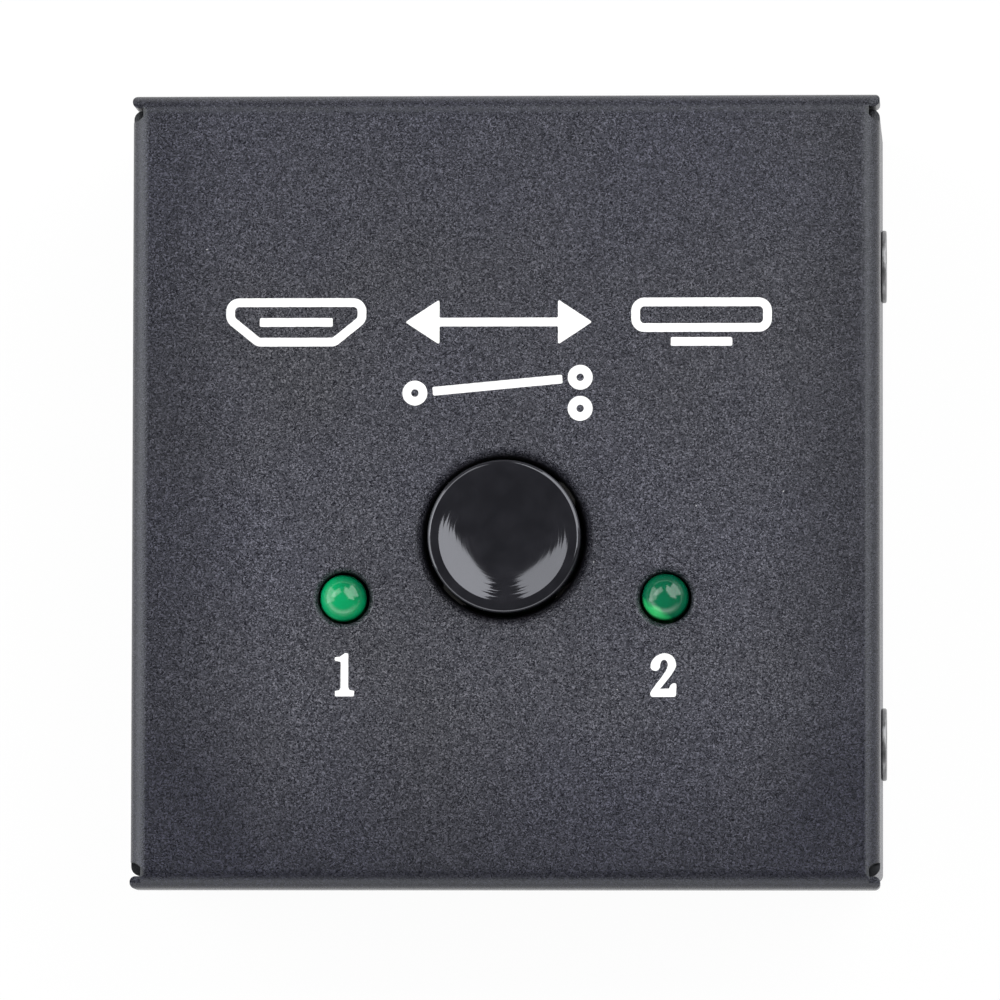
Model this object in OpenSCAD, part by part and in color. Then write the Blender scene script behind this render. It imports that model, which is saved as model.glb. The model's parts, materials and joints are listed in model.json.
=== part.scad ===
// Two-way selector box for video cables: a folded steel cover screwed to a
// folded steel tray, with a circuit board that carries three video ports, two
// indicator lamps and a push-push selector switch under a round dished button.
// Millimetres. The origin is at the middle of the underside, +Z is up, -Y is the
// side with the two numbered ports and +Y the side with the common port.

/* [Cover] */
// Width of the case over its side walls
body_w = 48; // [47:0.5:60]
// Depth of the case over its front and back lips
body_d = 51; // [50.5:0.5:64]
// Height of the case without the button
body_h = 18; // [17.5:0.5:23]
// Thickness of the coated sheet steel
sheet_t = 0.8; // [0.6:0.05:1]
// Inside radius of every bend in the sheet
bend_in_r = 0.45; // [0.2:0.05:0.6]
// Height of the lips folded down at the front and back of the cover
lip_h = 3.5; // [2:0.5:5]
// Rounding of the lips' ends, as a share of the sheet's thickness
lip_round = 0.45; // [0.2:0.05:0.48]
// Slit between the ends of the side walls and the lips
lip_slit = 0.06; // [0.04:0.02:0.2]
// How far the bends of the lips stop short of the side faces
lip_inset = 0.7; // [0.5:0.05:1]
// How far the ears at the lips' ends stay below the top face
ear_drop = 0.35; // [0.2:0.05:0.8]
// Radius of the bend relief at each corner of the cover
relief_r = 0.9; // [0.6:0.05:1.2]
// Depth of the bend relief below the top face
relief_depth = 1.6; // [1.3:0.1:4]
// Radius of the ends of the cover's side walls, seen from above
wall_end_r = 0.6; // [0.3:0.05:0.7]
// Gap between the cover and the tray where they slide together
sheet_gap = 0.12; // [0.06:0.02:0.3]
// Height of the cover's lower edges above the table
cover_lift = 0.2; // [0.1:0.05:0.6]

/* [Side screws] */
// Thread diameter of the four side screws
screw_d = 2.5; // [2:0.1:3]
// Diameter of their countersunk heads
screw_head_d = 4.7; // [4.2:0.1:5.6]
// Height of the straight rim of the head
screw_head_rim = 0.25; // [0.15:0.05:0.4]
// How far the heads stand out of the side walls
screw_head_proud = 0.35; // [0.2:0.05:0.6]
// Length of the screws inside the outer face of the wall
screw_len = 4; // [3:0.25:4.5]
// Distance between the two screws on one side
screw_span = 31; // [26:0.5:34]
// How far both screws sit from the middle of the side, negative to the front
screw_shift = -0.4; // [-1:0.1:1]
// Height of the side screws above the table
screw_z = 9; // [8:0.25:10.5]
// Clearance all round the screws
screw_gap = 0.06; // [0.04:0.01:0.12]
// Width of the slots of the cross recess in a screw head
recess_w = 0.6; // [0.4:0.05:0.8]
// Depth of the cross recess
recess_depth = 0.8; // [0.4:0.1:1]

/* [Tray] */
// Width of the upright tab behind each side screw
tab_w = 8; // [6:0.5:10]
// Height of the tab above the middle of its screw
tab_margin = 3; // [2.5:0.25:4]
// Width of the relief slots beside each tab
tab_relief = 0.8; // [0.5:0.1:1.2]

/* [Board] */
// Thickness of the circuit board
board_t = 1.6; // [1.2:0.2:2]
// Height of the standoffs under the board
standoff_h = 2.5; // [2:0.25:3.5]
// Diameter of the standoffs
standoff_d = 4; // [3.6:0.1:4.6]
// Diameter of the standoffs' spigots in the tray
spigot_d = 3.2; // [2.8:0.1:3.4]
// Gap between the edge of the board and the sheet around it
board_gap = 0.5; // [0.3:0.05:0.8]
// Distance of the board screws from the edges of the board
board_screw_inset = 3; // [2.6:0.1:3.4]
// Thread diameter of the board screws
board_screw_d = 2; // [1.6:0.1:2.2]
// Head diameter of the board screws
board_screw_head_d = 3.8; // [3.2:0.1:4.2]
// Head height of the board screws
board_screw_head_h = 1.3; // [1:0.1:1.6]
// Clearance round pins, legs and spigots in their holes
hole_gap = 0.15; // [0.1:0.01:0.2]
// Length of pins and legs below the board
pin_stub = 0.9; // [0.5:0.1:1.4]

/* [Ports] */
// Width of the opening of a port
port_w = 14; // [13.5:0.1:14.5]
// Height of the opening of a port
port_h = 4.55; // [4.35:0.05:4.8]
// Width of the narrow lower edge of the opening
port_floor_w = 10.6; // [10:0.1:11.5]
// Height of the slanted lower corners of the opening
port_slope_h = 1.7; // [1.2:0.1:2]
// Thickness of the port's metal shell
port_shell_t = 0.35; // [0.25:0.05:0.45]
// Length of the port's metal shell
port_len = 11.5; // [10.5:0.25:12]
// Gap between the shell and the board
port_lift = 0.35; // [0.2:0.05:0.6]
// Gap between the tips of the side screws and the shells of the numbered ports
port_screw_gap = 1.15; // [0.6:0.05:1.6]
// How far the shells stand out of the panels
port_proud = 0.2; // [0.05:0.05:0.5]
// Gap between a shell and the edge of its window in the panel
port_gap = 0.3; // [0.2:0.05:0.5]
// Width of the contact tongue
tongue_w = 11.6; // [11:0.1:12]
// Thickness of the contact tongue
tongue_t = 1.7; // [1.4:0.05:2]
// How far the tongue's tip lies behind the mouth of the shell
tongue_setback = 1.6; // [1.2:0.1:2.4]
// How far the tongue sits above the middle of the opening
tongue_rise = 0.1; // [0:0.05:0.3]
// Length of the plastic block that closes the back of the shell
block_len = 3.4; // [2.5:0.1:4]
// Gap between the plastic and the metal of a port
port_fit = 0.03; // [0.02:0.01:0.06]
// Distance between neighbouring contacts in one row
contact_pitch = 1; // [0.95:0.01:1.05]
// Width of a contact
contact_w = 0.34; // [0.26:0.02:0.4]
// Thickness of a contact
contact_t = 0.16; // [0.12:0.02:0.24]
// Number of contacts in the upper row, one more than in the lower row
contact_count = 10; // [8:1:10]
// Length of the solder foot of a contact
contact_foot = 0.7; // [0.4:0.05:1]
// Distance between the tails of the lower and the upper row
tail_step = 0.55; // [0.45:0.05:0.8]
// Width of the shell's board legs
leg_w = 1.4; // [1:0.1:1.8]
// Distance of the two rows of legs from the ends of the shell
leg_inset = 2.2; // [1.6:0.1:3]
// Width of the shell's spring fingers
finger_w = 1.6; // [1.2:0.1:2]
// Length of the shell's spring fingers
finger_len = 5; // [3.5:0.25:6]
// Width of the slot cut round each spring finger
finger_slot = 0.35; // [0.25:0.05:0.5]

/* [Button] */
// Diameter of the button
button_d = 9.8; // [9:0.1:11]
// Gap between the button and its hole in the cover
button_gap = 0.2; // [0.15:0.05:0.4]
// Radius to which the edge of the button's hole is drawn in
button_hole_roll = 1; // [0.6:0.1:1.2]
// Distance of the button behind the middle of the case, negative to the front
button_y = -3; // [-3.2:0.1:-2]
// How far the button stands above the cover
button_proud = 1.2; // [0.8:0.1:2]
// Travel of the button
button_travel = 1.5; // [1:0.1:1.8]
// Radius of the rounded top edge of the button
button_edge_r = 0.35; // [0.2:0.05:0.5]
// Diameter of the dish in the button
dish_d = 8.4; // [7.4:0.1:8.6]
// Depth of the dish in the button
dish_depth = 0.7; // [0.4:0.05:1]
// Thickness of the button's skirt
button_wall = 0.9; // [0.7:0.05:1.2]
// Thickness of the button's crown under the middle of the dish
button_crown = 1; // [0.8:0.05:1.4]
// Width of the square post that carries the button
post_w = 3; // [2.6:0.1:3.2]
// Wall of the button's socket round the post
socket_wall = 0.8; // [0.6:0.05:1]
// Clearance between the post and the button's socket
post_fit = 0.03; // [0.02:0.01:0.06]

/* [Lamps] */
// Diameter of the lamp lenses
led_d = 3; // [2.8:0.1:3.2]
// Diameter of the flange at the foot of a lens
led_flange_d = 3.8; // [3.5:0.1:4]
// Height of the flange
led_flange_h = 1; // [0.8:0.1:1.2]
// Height of a lens from its foot to the top of its dome
led_len = 5.3; // [4.8:0.1:5.6]
// How far the domes stand above the cover
led_proud = 0.8; // [0.5:0.05:1.2]
// Gap between a lens and its hole in the cover
led_gap = 0.14; // [0.12:0.02:0.3]
// Radius to which the edges of the lamps' holes are drawn in
led_hole_roll = 0.55; // [0.4:0.05:0.8]
// Distance between the two lamps
led_span = 20.6; // [18:0.2:24]
// Distance of the lamps behind the middle of the case, negative to the front
led_y = -6.9; // [-7.2:0.1:-6]
// How far lamp 1 sits to the right of the middle of its hole
led_1_aside = -0.06; // [-0.1:0.02:0.1]
// How far lamp 2 sits behind the middle of its hole
led_2_back = 0.1; // [-0.1:0.02:0.12]
// Thickness of the lamps' wire leads
led_lead_w = 0.5; // [0.4:0.05:0.6]
// Distance between the two leads of a lamp
led_lead_pitch = 1.9; // [1.6:0.1:2.6]
// Lean of lamp 1 on its leads, in degrees
led_1_lean = 1; // [0:0.5:3]
// Direction in which lamp 1 leans, in degrees from +X
led_1_turn = 215; // [0:5:355]
// Lean of lamp 2 on its leads, in degrees
led_2_lean = 4; // [0:0.5:5]
// Direction in which lamp 2 leans, in degrees from +X
led_2_turn = 55; // [0:5:355]

/* [Selector switch] */
// Width and depth of the switch housing
switch_w = 8; // [7.8:0.1:8.6]
// Thickness of the housing floor
switch_floor = 1; // [0.8:0.1:1.2]
// Thickness of the housing walls beside the terminals
switch_wall = 1; // [0.8:0.05:1.2]
// Thickness of the housing wall behind the latch pin
pin_wall = 0.6; // [0.45:0.05:0.7]
// Running gap round the plunger
plunger_gap = 0.2; // [0.15:0.01:0.25]
// Height of the plunger's guided body
plunger_h = 3.4; // [3.2:0.1:4]
// Space left under the plunger when the button is fully in
plunger_rest_gap = 0.5; // [0.3:0.1:0.8]
// Diameter of the plunger's round stem
stem_d = 3.9; // [3.6:0.1:4.2]
// Thickness of the steel frame over the housing
frame_t = 0.3; // [0.25:0.05:0.4]
// Length of the frame's skirts down the sides of the housing
skirt_h = 4; // [3:0.25:5]
// Width of the frame's skirts
skirt_w = 6; // [5:0.25:7]
// Width of the window in each skirt that catches the housing
catch_w = 2.2; // [1.6:0.1:2.6]
// Height of that window
catch_h = 1.2; // [0.8:0.1:1.6]
// Diameter of the latch pin's wire
pin_d = 0.5; // [0.4:0.05:0.55]
// Height of the latch pin between its two bent ends
pin_len = 2.4; // [2.2:0.1:2.6]
// Angle through which the latch pin swings over the button's travel
pin_swing = 10; // [6:0.5:12]
// Depth of the heart-shaped latch groove in the plunger
groove_depth = 0.8; // [0.7:0.05:0.9]
// Running gap each side of the pin in the groove
groove_gap = 0.2; // [0.16:0.01:0.24]
// Wire diameter of the return spring
spring_wire = 0.28; // [0.2:0.02:0.32]
// Number of turns of the return spring
spring_turns = 5; // [4:1:6]
// Depth of the spring's pocket in the plunger
pocket_depth = 1.8; // [1.4:0.1:2.2]
// Thickness of the switch's terminals
terminal_t = 0.3; // [0.2:0.05:0.35]
// Width of the switch's terminals
terminal_w = 0.9; // [0.7:0.05:1.1]
// Distance between the terminals in a row
terminal_pitch = 1.8; // [1.6:0.05:2]
// Thickness of the sliding contact clips on the plunger
clip_t = 0.4; // [0.3:0.05:0.5]
// Gap between the clips and the terminals
clip_gap = 0.1; // [0.06:0.01:0.14]

/* [Chips] */
// Width of the selector chip
chip_w = 6; // [5:0.25:6.25]
// Height of the selector chip
chip_h = 1; // [0.8:0.1:1.4]
// Number of leads on each side of the selector chip
chip_lead_count = 12; // [8:1:12]
// Distance between the chip's leads
chip_lead_pitch = 0.4; // [0.36:0.02:0.44]
// Width of a chip lead
chip_lead_w = 0.2; // [0.16:0.02:0.24]
// Length of a chip lead from the chip to its toe
chip_lead_len = 0.8; // [0.6:0.05:1]
// Thickness of a chip lead
chip_lead_t = 0.14; // [0.1:0.02:0.2]
// Length of a surge arrester
arrester_l = 2.5; // [2:0.1:3]
// Width of a surge arrester
arrester_w = 1; // [0.8:0.1:1.2]
// Height of a surge arrester
arrester_h = 0.6; // [0.4:0.05:0.9]
// Length of a chip capacitor or resistor
passive_l = 1.6; // [1.2:0.1:2]
// Width of a chip capacitor or resistor
passive_w = 0.8; // [0.5:0.05:1]
// Height of a chip capacitor
capacitor_h = 0.8; // [0.5:0.05:1]
// Height of a chip resistor
resistor_h = 0.45; // [0.3:0.05:0.6]
// Distance between neighbouring capacitors
passive_step = 1.7; // [1.4:0.1:2]

/* [Hidden] */

$fn = 48;
// Overshoot of a cutter past the face that it opens
cut = 0.5;

// Folded sheet
bend_r = bend_in_r + sheet_t;
wall_in_x = body_w / 2 - sheet_t;
wall_in_y = body_d / 2 - sheet_t;
tray_x = wall_in_x - sheet_gap;
tray_y = wall_in_y - sheet_gap;
panel_top = body_h - bend_r;
tab_in_x = tray_x - sheet_t;
tab_top = screw_z + tab_margin;
screw_ys = [screw_shift - screw_span / 2, screw_shift + screw_span / 2];
head_cone = (screw_head_d - screw_d) / 2;
head_face_x = body_w / 2 + screw_head_proud;
lip_end_r = lip_round * sheet_t;

// Board and what stands on it
board_z = sheet_t + standoff_h;
board_top = board_z + board_t;
board_x = tab_in_x - board_gap;
board_y = tray_y - sheet_t - board_gap;
stub_z = board_z - pin_stub;

// Ports, each drawn with its mouth at y = 0 and the board's top at z = 0
port_z = port_lift + port_shell_t;
mouth_y = tray_y + port_proud;
tongue_z = port_z + port_h / 2 + tongue_rise;
tail_len = tail_step + contact_t + contact_foot;
tails_y = mouth_y - port_len - tail_step - tail_len;
leg_ys = [leg_inset, port_len - leg_inset];
leg_x = (port_w + port_shell_t) / 2;
opening = [
  [-port_floor_w / 2, 0], [port_floor_w / 2, 0], [port_w / 2, port_slope_h],
  [port_w / 2, port_h], [-port_w / 2, port_h], [-port_w / 2, port_slope_h]
];
front_port_x = body_w / 2 - screw_len - port_screw_gap - port_shell_t - port_w / 2;
front_ports_x = [-front_port_x, front_port_x];
standoff_xy = [
  for (sx = [-1, 1], y = [standoff_d - tails_y, board_y - board_screw_inset])
    [sx * (board_x - board_screw_inset), y]
];

// Selector switch
housing_half = switch_w / 2;
cavity_x = housing_half - switch_wall;
pin_room = pin_d + plunger_gap;
channel_y = housing_half - pin_wall;
pin_y = channel_y - pin_room / 2;
cavity_y = channel_y - pin_room;
plunger_y = cavity_y - plunger_gap;
plunger_x = cavity_x - terminal_t - clip_gap - clip_t;
pocket_r = plunger_y - groove_depth - switch_wall / 3;
floor_z = board_top + switch_floor;
plunger_z = floor_z + button_travel + plunger_rest_gap;
housing_top = plunger_z + plunger_h + plunger_gap;
frame_top = housing_top + frame_t;
groove_w = pin_d + 2 * groove_gap;
pin_pivot_z = floor_z + pin_d;
pin_tip_z = pin_pivot_z + pin_len;
groove_z = pin_tip_z - plunger_z;
groove_side = pin_len * sin(pin_swing);
channel_x = groove_side + pin_d + groove_gap;
terminal_ys = [-terminal_pitch, 0, terminal_pitch];
terminal_x = cavity_x - terminal_t / 2;
clip_low = plunger_z + plunger_h / 4;
clip_high = plunger_z + plunger_h * 3 / 4;
spring_r = pocket_r - groove_gap - spring_wire / 2;

// Button
button_top = body_h + button_proud;
button_low = frame_top + button_travel + plunger_gap;
button_roof = button_top - dish_depth - button_crown;
dish_r = (dish_d * dish_d / 4 + dish_depth * dish_depth) / (2 * dish_depth);
socket_r = post_w / 2 * sqrt(2) + socket_wall;

// Lamps
lamp_pivot_z = body_h - sheet_t / 2;
lamp_foot = body_h + led_proud - led_len;
lead_hole_r = led_lead_w * sqrt(2) / 2 + board_t * tan(led_2_lean) + hole_gap;

// Chips
chip_half = chip_w / 2 + chip_lead_len;
chip_x = port_w / 2 + port_shell_t + board_gap + chip_half;
chip_y = mouth_y - port_len;
arrester_x = ((contact_count - 1) * contact_pitch + contact_w) / 2 + arrester_w;

// Corners of a convex outline moved outwards by d
function grown(points, d) = [
  for (i = [0:len(points) - 1])
    let (
      a = points[(i + len(points) - 1) % len(points)],
      b = points[i],
      c = points[(i + 1) % len(points)],
      u = (b - a) / norm(b - a),
      v = (c - b) / norm(c - b),
      n1 = [u[1], -u[0]],
      n2 = [v[1], -v[0]]
    )
    b + d * (n1 + n2) / (1 + n1 * n2)
];

// Quarter of a bend in the quadrant of +X and +Y
module bend_section() {
  intersection() {
    difference() {
      circle(bend_r);
      circle(bend_in_r);
    }
    square(bend_r + cut);
  }
}

// Section of a sheet with its flat at the top and a leg folded down on each side
module folded_section(half, top, low) {
  translate([-(half - bend_r), top - sheet_t]) square([2 * (half - bend_r), sheet_t]);
  for (side = [0, 1])
    mirror([side, 0]) {
      translate([half - bend_r, top - bend_r]) bend_section();
      translate([half - sheet_t, low]) square([sheet_t, top - bend_r - low]);
    }
}

// Outline of that sheet from the table up, filled
module filled_section(half, top) {
  translate([-half, 0]) square([2 * half, top - bend_r]);
  translate([-(half - bend_r), 0]) square([2 * (half - bend_r), top]);
  for (side = [-1, 1])
    translate([side * (half - bend_r), top - bend_r]) circle(bend_r);
}

// Runs a section drawn across X along Y
module along_y(length) {
  rotate([90, 0, 0]) linear_extrude(length, center = true) children();
}

// Runs a section drawn across Y along X
module along_x(length) {
  rotate([90, 0, 90]) linear_extrude(length, center = true) children();
}

// A side screw with its axis on X, grown all round by gap
module side_screw_shape(gap = 0) {
  rim_x = head_face_x - screw_head_rim;
  rotate([0, 90, 0]) {
    translate([0, 0, body_w / 2 - screw_len - gap])
      cylinder(r = screw_d / 2 + gap, h = screw_len + gap - body_w / 2 + rim_x - head_cone);
    translate([0, 0, rim_x - head_cone])
      cylinder(r1 = screw_d / 2 + gap, r2 = screw_head_d / 2 + gap, h = head_cone);
    translate([0, 0, rim_x]) cylinder(r = screw_head_d / 2 + gap, h = screw_head_rim + gap);
  }
}

// Places children at each side screw, on both sides
module at_side_screws() {
  for (side = [0, 1], y = screw_ys)
    mirror([side, 0, 0]) translate([0, y, screw_z]) children();
}

// A lip seen from above, with round ends
module lip_outline() {
  offset(lip_end_r) square([body_w - 2 * lip_end_r, sheet_t - 2 * lip_end_r], center = true);
}

// A punched hole down from z = 0, whose upper edge is drawn in to a radius
module rolled_hole(r, roll) {
  translate([0, 0, -sheet_t - cut]) cylinder(r = r, h = sheet_t + 2 * cut);
  translate([0, 0, -0.94 * roll]) rotate_extrude() difference() {
    square([r + 0.8 * roll, roll]);
    translate([r + roll, 0]) circle(roll);
  }
}

module top_cover() {
  side_len = body_d - 2 * (sheet_t + lip_slit);
  color("#3c3c43") difference() {
    union() {
      // Top face and side walls, with the corners of the bends cut away
      difference() {
        intersection() {
          union() {
            along_y(body_d - 2 * bend_r) folded_section(body_w / 2, body_h, cover_lift);
            for (side = [0, 1])
              mirror([side, 0, 0])
                translate([wall_in_x, -side_len / 2, cover_lift])
                  cube([sheet_t, side_len, body_h - bend_r - cover_lift]);
          }
          linear_extrude(body_h) offset(wall_end_r)
            square([body_w - 2 * wall_end_r, side_len - 2 * wall_end_r], center = true);
        }
        for (sx = [-1, 1], sy = [-1, 1])
          translate([sx * body_w / 2, sy * wall_in_y, body_h - relief_depth])
            cylinder(r = relief_r, h = relief_depth + cut);
      }
      // Lips at the front and back, which meet the side bends at the corners
      intersection() {
        along_x(body_w - 2 * lip_inset) folded_section(body_d / 2, body_h, body_h - lip_h);
        along_y(body_d) filled_section(body_w / 2, body_h);
      }
      // Ears at their ends, whose upper edges follow the bend
      intersection() {
        for (side = [0, 1])
          mirror([0, side, 0]) translate([0, wall_in_y + sheet_t / 2, body_h - lip_h]) {
            linear_extrude(lip_h - bend_r) lip_outline();
            linear_extrude(lip_h - ear_drop) difference() {
              lip_outline();
              square([body_w - 2 * bend_r, body_d], center = true);
            }
          }
        along_x(body_w) filled_section(body_d / 2, body_h);
      }
    }
    translate([0, button_y, body_h]) rolled_hole(button_d / 2 + button_gap, button_hole_roll);
    for (sx = [-1, 1])
      translate([sx * led_span / 2, led_y, body_h]) rolled_hole(led_d / 2 + led_gap, led_hole_roll);
    at_side_screws() side_screw_shape(screw_gap);
  }
}

module base_tray() {
  tab_zone = tab_w / 2 + tab_relief;
  color("#34343a") difference() {
    union() {
      difference() {
        // Floor with the front and back panels folded up
        along_x(2 * tray_x)
          translate([0, panel_top]) mirror([0, 1]) folded_section(tray_y, panel_top, 0);
        for (side = [0, 1], y = screw_ys)
          mirror([side, 0, 0])
            translate([tray_x - bend_r, y - tab_zone, -cut]) cube([bend_r + cut, 2 * tab_zone, sheet_t + 2 * cut]);
      }
      // Upright tabs for the side screws
      for (side = [0, 1], y = screw_ys)
        mirror([side, 0, 0]) translate([0, y, 0]) {
          along_y(tab_w) translate([tray_x - bend_r, bend_r]) mirror([0, 1]) bend_section();
          translate([tab_in_x, -tab_w / 2, bend_r]) cube([sheet_t, tab_w, tab_top - bend_r]);
        }
    }
    at_side_screws() side_screw_shape(screw_gap);
    for (p = standoff_xy)
      translate([p[0], p[1], -cut]) cylinder(d = spigot_d + 2 * screw_gap, h = sheet_t + 2 * cut);
    at_port_1() port_window();
    at_port_2() port_window();
    at_port_common() port_window();
  }
}

module side_screws() {
  color("#26262a") at_side_screws() difference() {
    side_screw_shape();
    for (turn = [0, 90])
      rotate([turn, 0, 0])
        translate([head_face_x - recess_depth, -recess_w / 2, -screw_d / 2])
          cube([recess_depth + cut, recess_w, screw_d]);
  }
}

module board_standoffs() {
  color("#c9a75a") for (p = standoff_xy) translate([p[0], p[1], 0]) difference() {
    union() {
      translate([0, 0, sheet_t]) cylinder(d = standoff_d, h = standoff_h);
      translate([0, 0, screw_gap]) cylinder(d = spigot_d, h = sheet_t);
    }
    translate([0, 0, -cut]) cylinder(d = board_screw_d + 2 * screw_gap, h = board_z + 2 * cut);
  }
}

module board_screws() {
  shank = board_t + standoff_h;
  color("silver") for (p = standoff_xy) translate([p[0], p[1], board_top]) difference() {
    union() {
      cylinder(d = board_screw_head_d, h = board_screw_head_h);
      translate([0, 0, -shank]) cylinder(d = board_screw_d, h = shank + board_screw_head_h / 2);
    }
    for (turn = [0, 90])
      rotate(turn)
        translate([-board_screw_d / 2, -recess_w / 2, board_screw_head_h - recess_depth])
          cube([board_screw_d, recess_w, recess_depth + cut]);
  }
}

// Places children where each port's mouth meets the board's top
module at_port_1() {
  translate([front_ports_x[0], -mouth_y, board_top]) children();
}

module at_port_2() {
  translate([front_ports_x[1], -mouth_y, board_top]) children();
}

module at_port_common() {
  translate([0, mouth_y, board_top]) rotate(180) children();
}

module circuit_board() {
  leg_slot = [port_shell_t + 2 * hole_gap, leg_w + 2 * hole_gap, board_t + 2 * cut];
  color("#1d5a33") difference() {
    translate([-board_x, -board_y, board_z]) cube([2 * board_x, 2 * board_y, board_t]);
    for (p = standoff_xy)
      translate([p[0], p[1], board_z - cut]) cylinder(d = board_screw_d + 2 * hole_gap, h = board_t + 2 * cut);
    at_port_1() leg_slots(leg_slot);
    at_port_2() leg_slots(leg_slot);
    at_port_common() leg_slots(leg_slot);
    for (lamp = [1, 2], side = [-1, 1])
      translate(lead_place(lamp, side)) cylinder(r = lead_hole_r, h = board_t + 2 * cut);
    for (side = [-1, 1], y = terminal_ys)
      translate([side * terminal_x, button_y + y, board_z - cut])
        cylinder(d = terminal_w + 2 * hole_gap, h = board_t + 2 * cut);
  }
}

// Slots in the board for the legs of one port
module leg_slots(size) {
  for (side = [-1, 1], y = leg_ys)
    translate([side * leg_x - size[0] / 2, y - size[1] / 2, -size[2] + cut]) cube(size);
}

// Section of a port's opening, or of its outside, moved outwards by d
module port_section(d) {
  translate([0, port_z]) polygon(grown(opening, d));
}

// Cutter for the window of a port in its panel
module port_window() {
  depth = port_proud + sheet_t + cut;
  rotate([90, 0, 0]) translate([0, 0, -depth]) linear_extrude(depth + cut) port_section(port_shell_t + port_gap);
}

// Slot round three sides of a spring finger that points at the mouth
module finger_slots() {
  width = finger_w + 2 * finger_slot;
  difference() {
    translate([-width / 2, 0, 0]) cube([width, finger_len, port_shell_t + 2 * cut]);
    translate([-finger_w / 2, finger_slot, -cut]) cube([finger_w, finger_len, port_shell_t + 4 * cut]);
  }
}

// Metal shell of a port with its spring fingers and board legs
module port_shell() {
  finger_x = port_floor_w / 4;
  color("#c4c6c8") {
    difference() {
      rotate([90, 0, 0]) translate([0, 0, -port_len]) linear_extrude(port_len) difference() {
        port_section(port_shell_t);
        port_section(0);
      }
      for (side = [-1, 1], z = [port_lift - cut, port_z + port_h - cut])
        translate([side * finger_x, tongue_setback, z]) finger_slots();
    }
    for (side = [-1, 1], y = leg_ys)
      translate([side * leg_x - port_shell_t / 2, y - leg_w / 2, -board_t - pin_stub])
        cube([port_shell_t, leg_w, board_t + pin_stub + port_z + port_slope_h + port_shell_t]);
  }
}

// Section across Y of one contact: a strip on the tongue, a drop behind the block and a foot
module contact_section(face_z, drop_y) {
  translate([tongue_setback + contact_t, face_z])
    square([drop_y + contact_t - tongue_setback - contact_t, contact_t]);
  translate([drop_y, 0]) square([contact_t, face_z + contact_t]);
  translate([drop_y, 0]) square([contact_t + contact_foot, contact_t]);
}

// All contacts of a port, grown by gap in width and thickness
module contact_rows(gap = 0) {
  upper_z = tongue_z + tongue_t / 2;
  lower_z = tongue_z - tongue_t / 2 - contact_t;
  for (i = [0:contact_count - 1])
    translate([(i - (contact_count - 1) / 2) * contact_pitch, 0, 0])
      along_x(contact_w + 2 * gap) contact_section(upper_z, port_len + 2 * tail_step);
  for (i = [0:contact_count - 2])
    translate([(i - (contact_count - 2) / 2) * contact_pitch, 0, 0])
      along_x(contact_w + 2 * gap) contact_section(lower_z, port_len + tail_step);
}

module port_contacts() {
  color("#d6ae4e") contact_rows();
}

// Slots through the block for the strips of one row of contacts
module strip_slots(count, face_z) {
  slot = [contact_w + 2 * port_fit, block_len + 2 * cut, contact_t + 2 * port_fit];
  for (i = [0:count - 1])
    translate([(i - (count - 1) / 2) * contact_pitch - slot[0] / 2, port_len - block_len - cut, face_z - port_fit])
      cube(slot);
}

// Plastic tongue and back block of a port
module port_insulator() {
  color("#1b1b1d") difference() {
    union() {
      rotate([90, 0, 0]) translate([0, 0, -port_len]) linear_extrude(block_len) port_section(-port_fit);
      translate([-tongue_w / 2, tongue_setback, tongue_z - tongue_t / 2])
        cube([tongue_w, port_len - block_len / 2 - tongue_setback, tongue_t]);
    }
    strip_slots(contact_count, tongue_z + tongue_t / 2);
    strip_slots(contact_count - 1, tongue_z - tongue_t / 2 - contact_t);
  }
}

// Lean of a lamp and the direction of the lean
function lamp_lean(lamp) = lamp == 1 ? led_1_lean : led_2_lean;
function lamp_turn(lamp) = lamp == 1 ? led_1_turn : led_2_turn;
function lamp_x(lamp) = lamp == 1 ? led_1_aside - led_span / 2 : led_span / 2;
function lamp_y(lamp) = lamp == 1 ? led_y : led_y + led_2_back;

// Where a lead of a leaning lamp passes the middle of the board
function lead_place(lamp, side) =
  let (drop = (lamp_pivot_z - board_z - board_t / 2) * tan(lamp_lean(lamp)), turn = lamp_turn(lamp))
  [
    lamp_x(lamp) + side * led_lead_pitch / 2 - drop * cos(turn),
    lamp_y(lamp) - drop * sin(turn),
    board_z - cut
  ];

// Places children drawn about a lamp's upright axis, leaning about its hole in the cover
module at_lamp(lamp) {
  turn = lamp_turn(lamp);
  translate([lamp_x(lamp), lamp_y(lamp), lamp_pivot_z])
    rotate(turn) rotate([0, lamp_lean(lamp), 0]) rotate(-turn)
      translate([0, 0, -lamp_pivot_z]) children();
}

module lamp_lens(lamp) {
  straight = led_len - led_d / 2;
  color("#0f9a5a") at_lamp(lamp) translate([0, 0, lamp_foot]) rotate_extrude() {
    square([led_flange_d / 2, led_flange_h]);
    square([led_d / 2, straight]);
    translate([0, straight]) intersection() {
      circle(d = led_d);
      square(led_d);
    }
  }
}

module lamp_leads(lamp) {
  color("#b9bcc0") at_lamp(lamp) for (side = [-1, 1])
    translate([side * led_lead_pitch / 2 - led_lead_w / 2, -led_lead_w / 2, stub_z])
      cube([led_lead_w, led_lead_w, lamp_foot - stub_z]);
}

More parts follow.
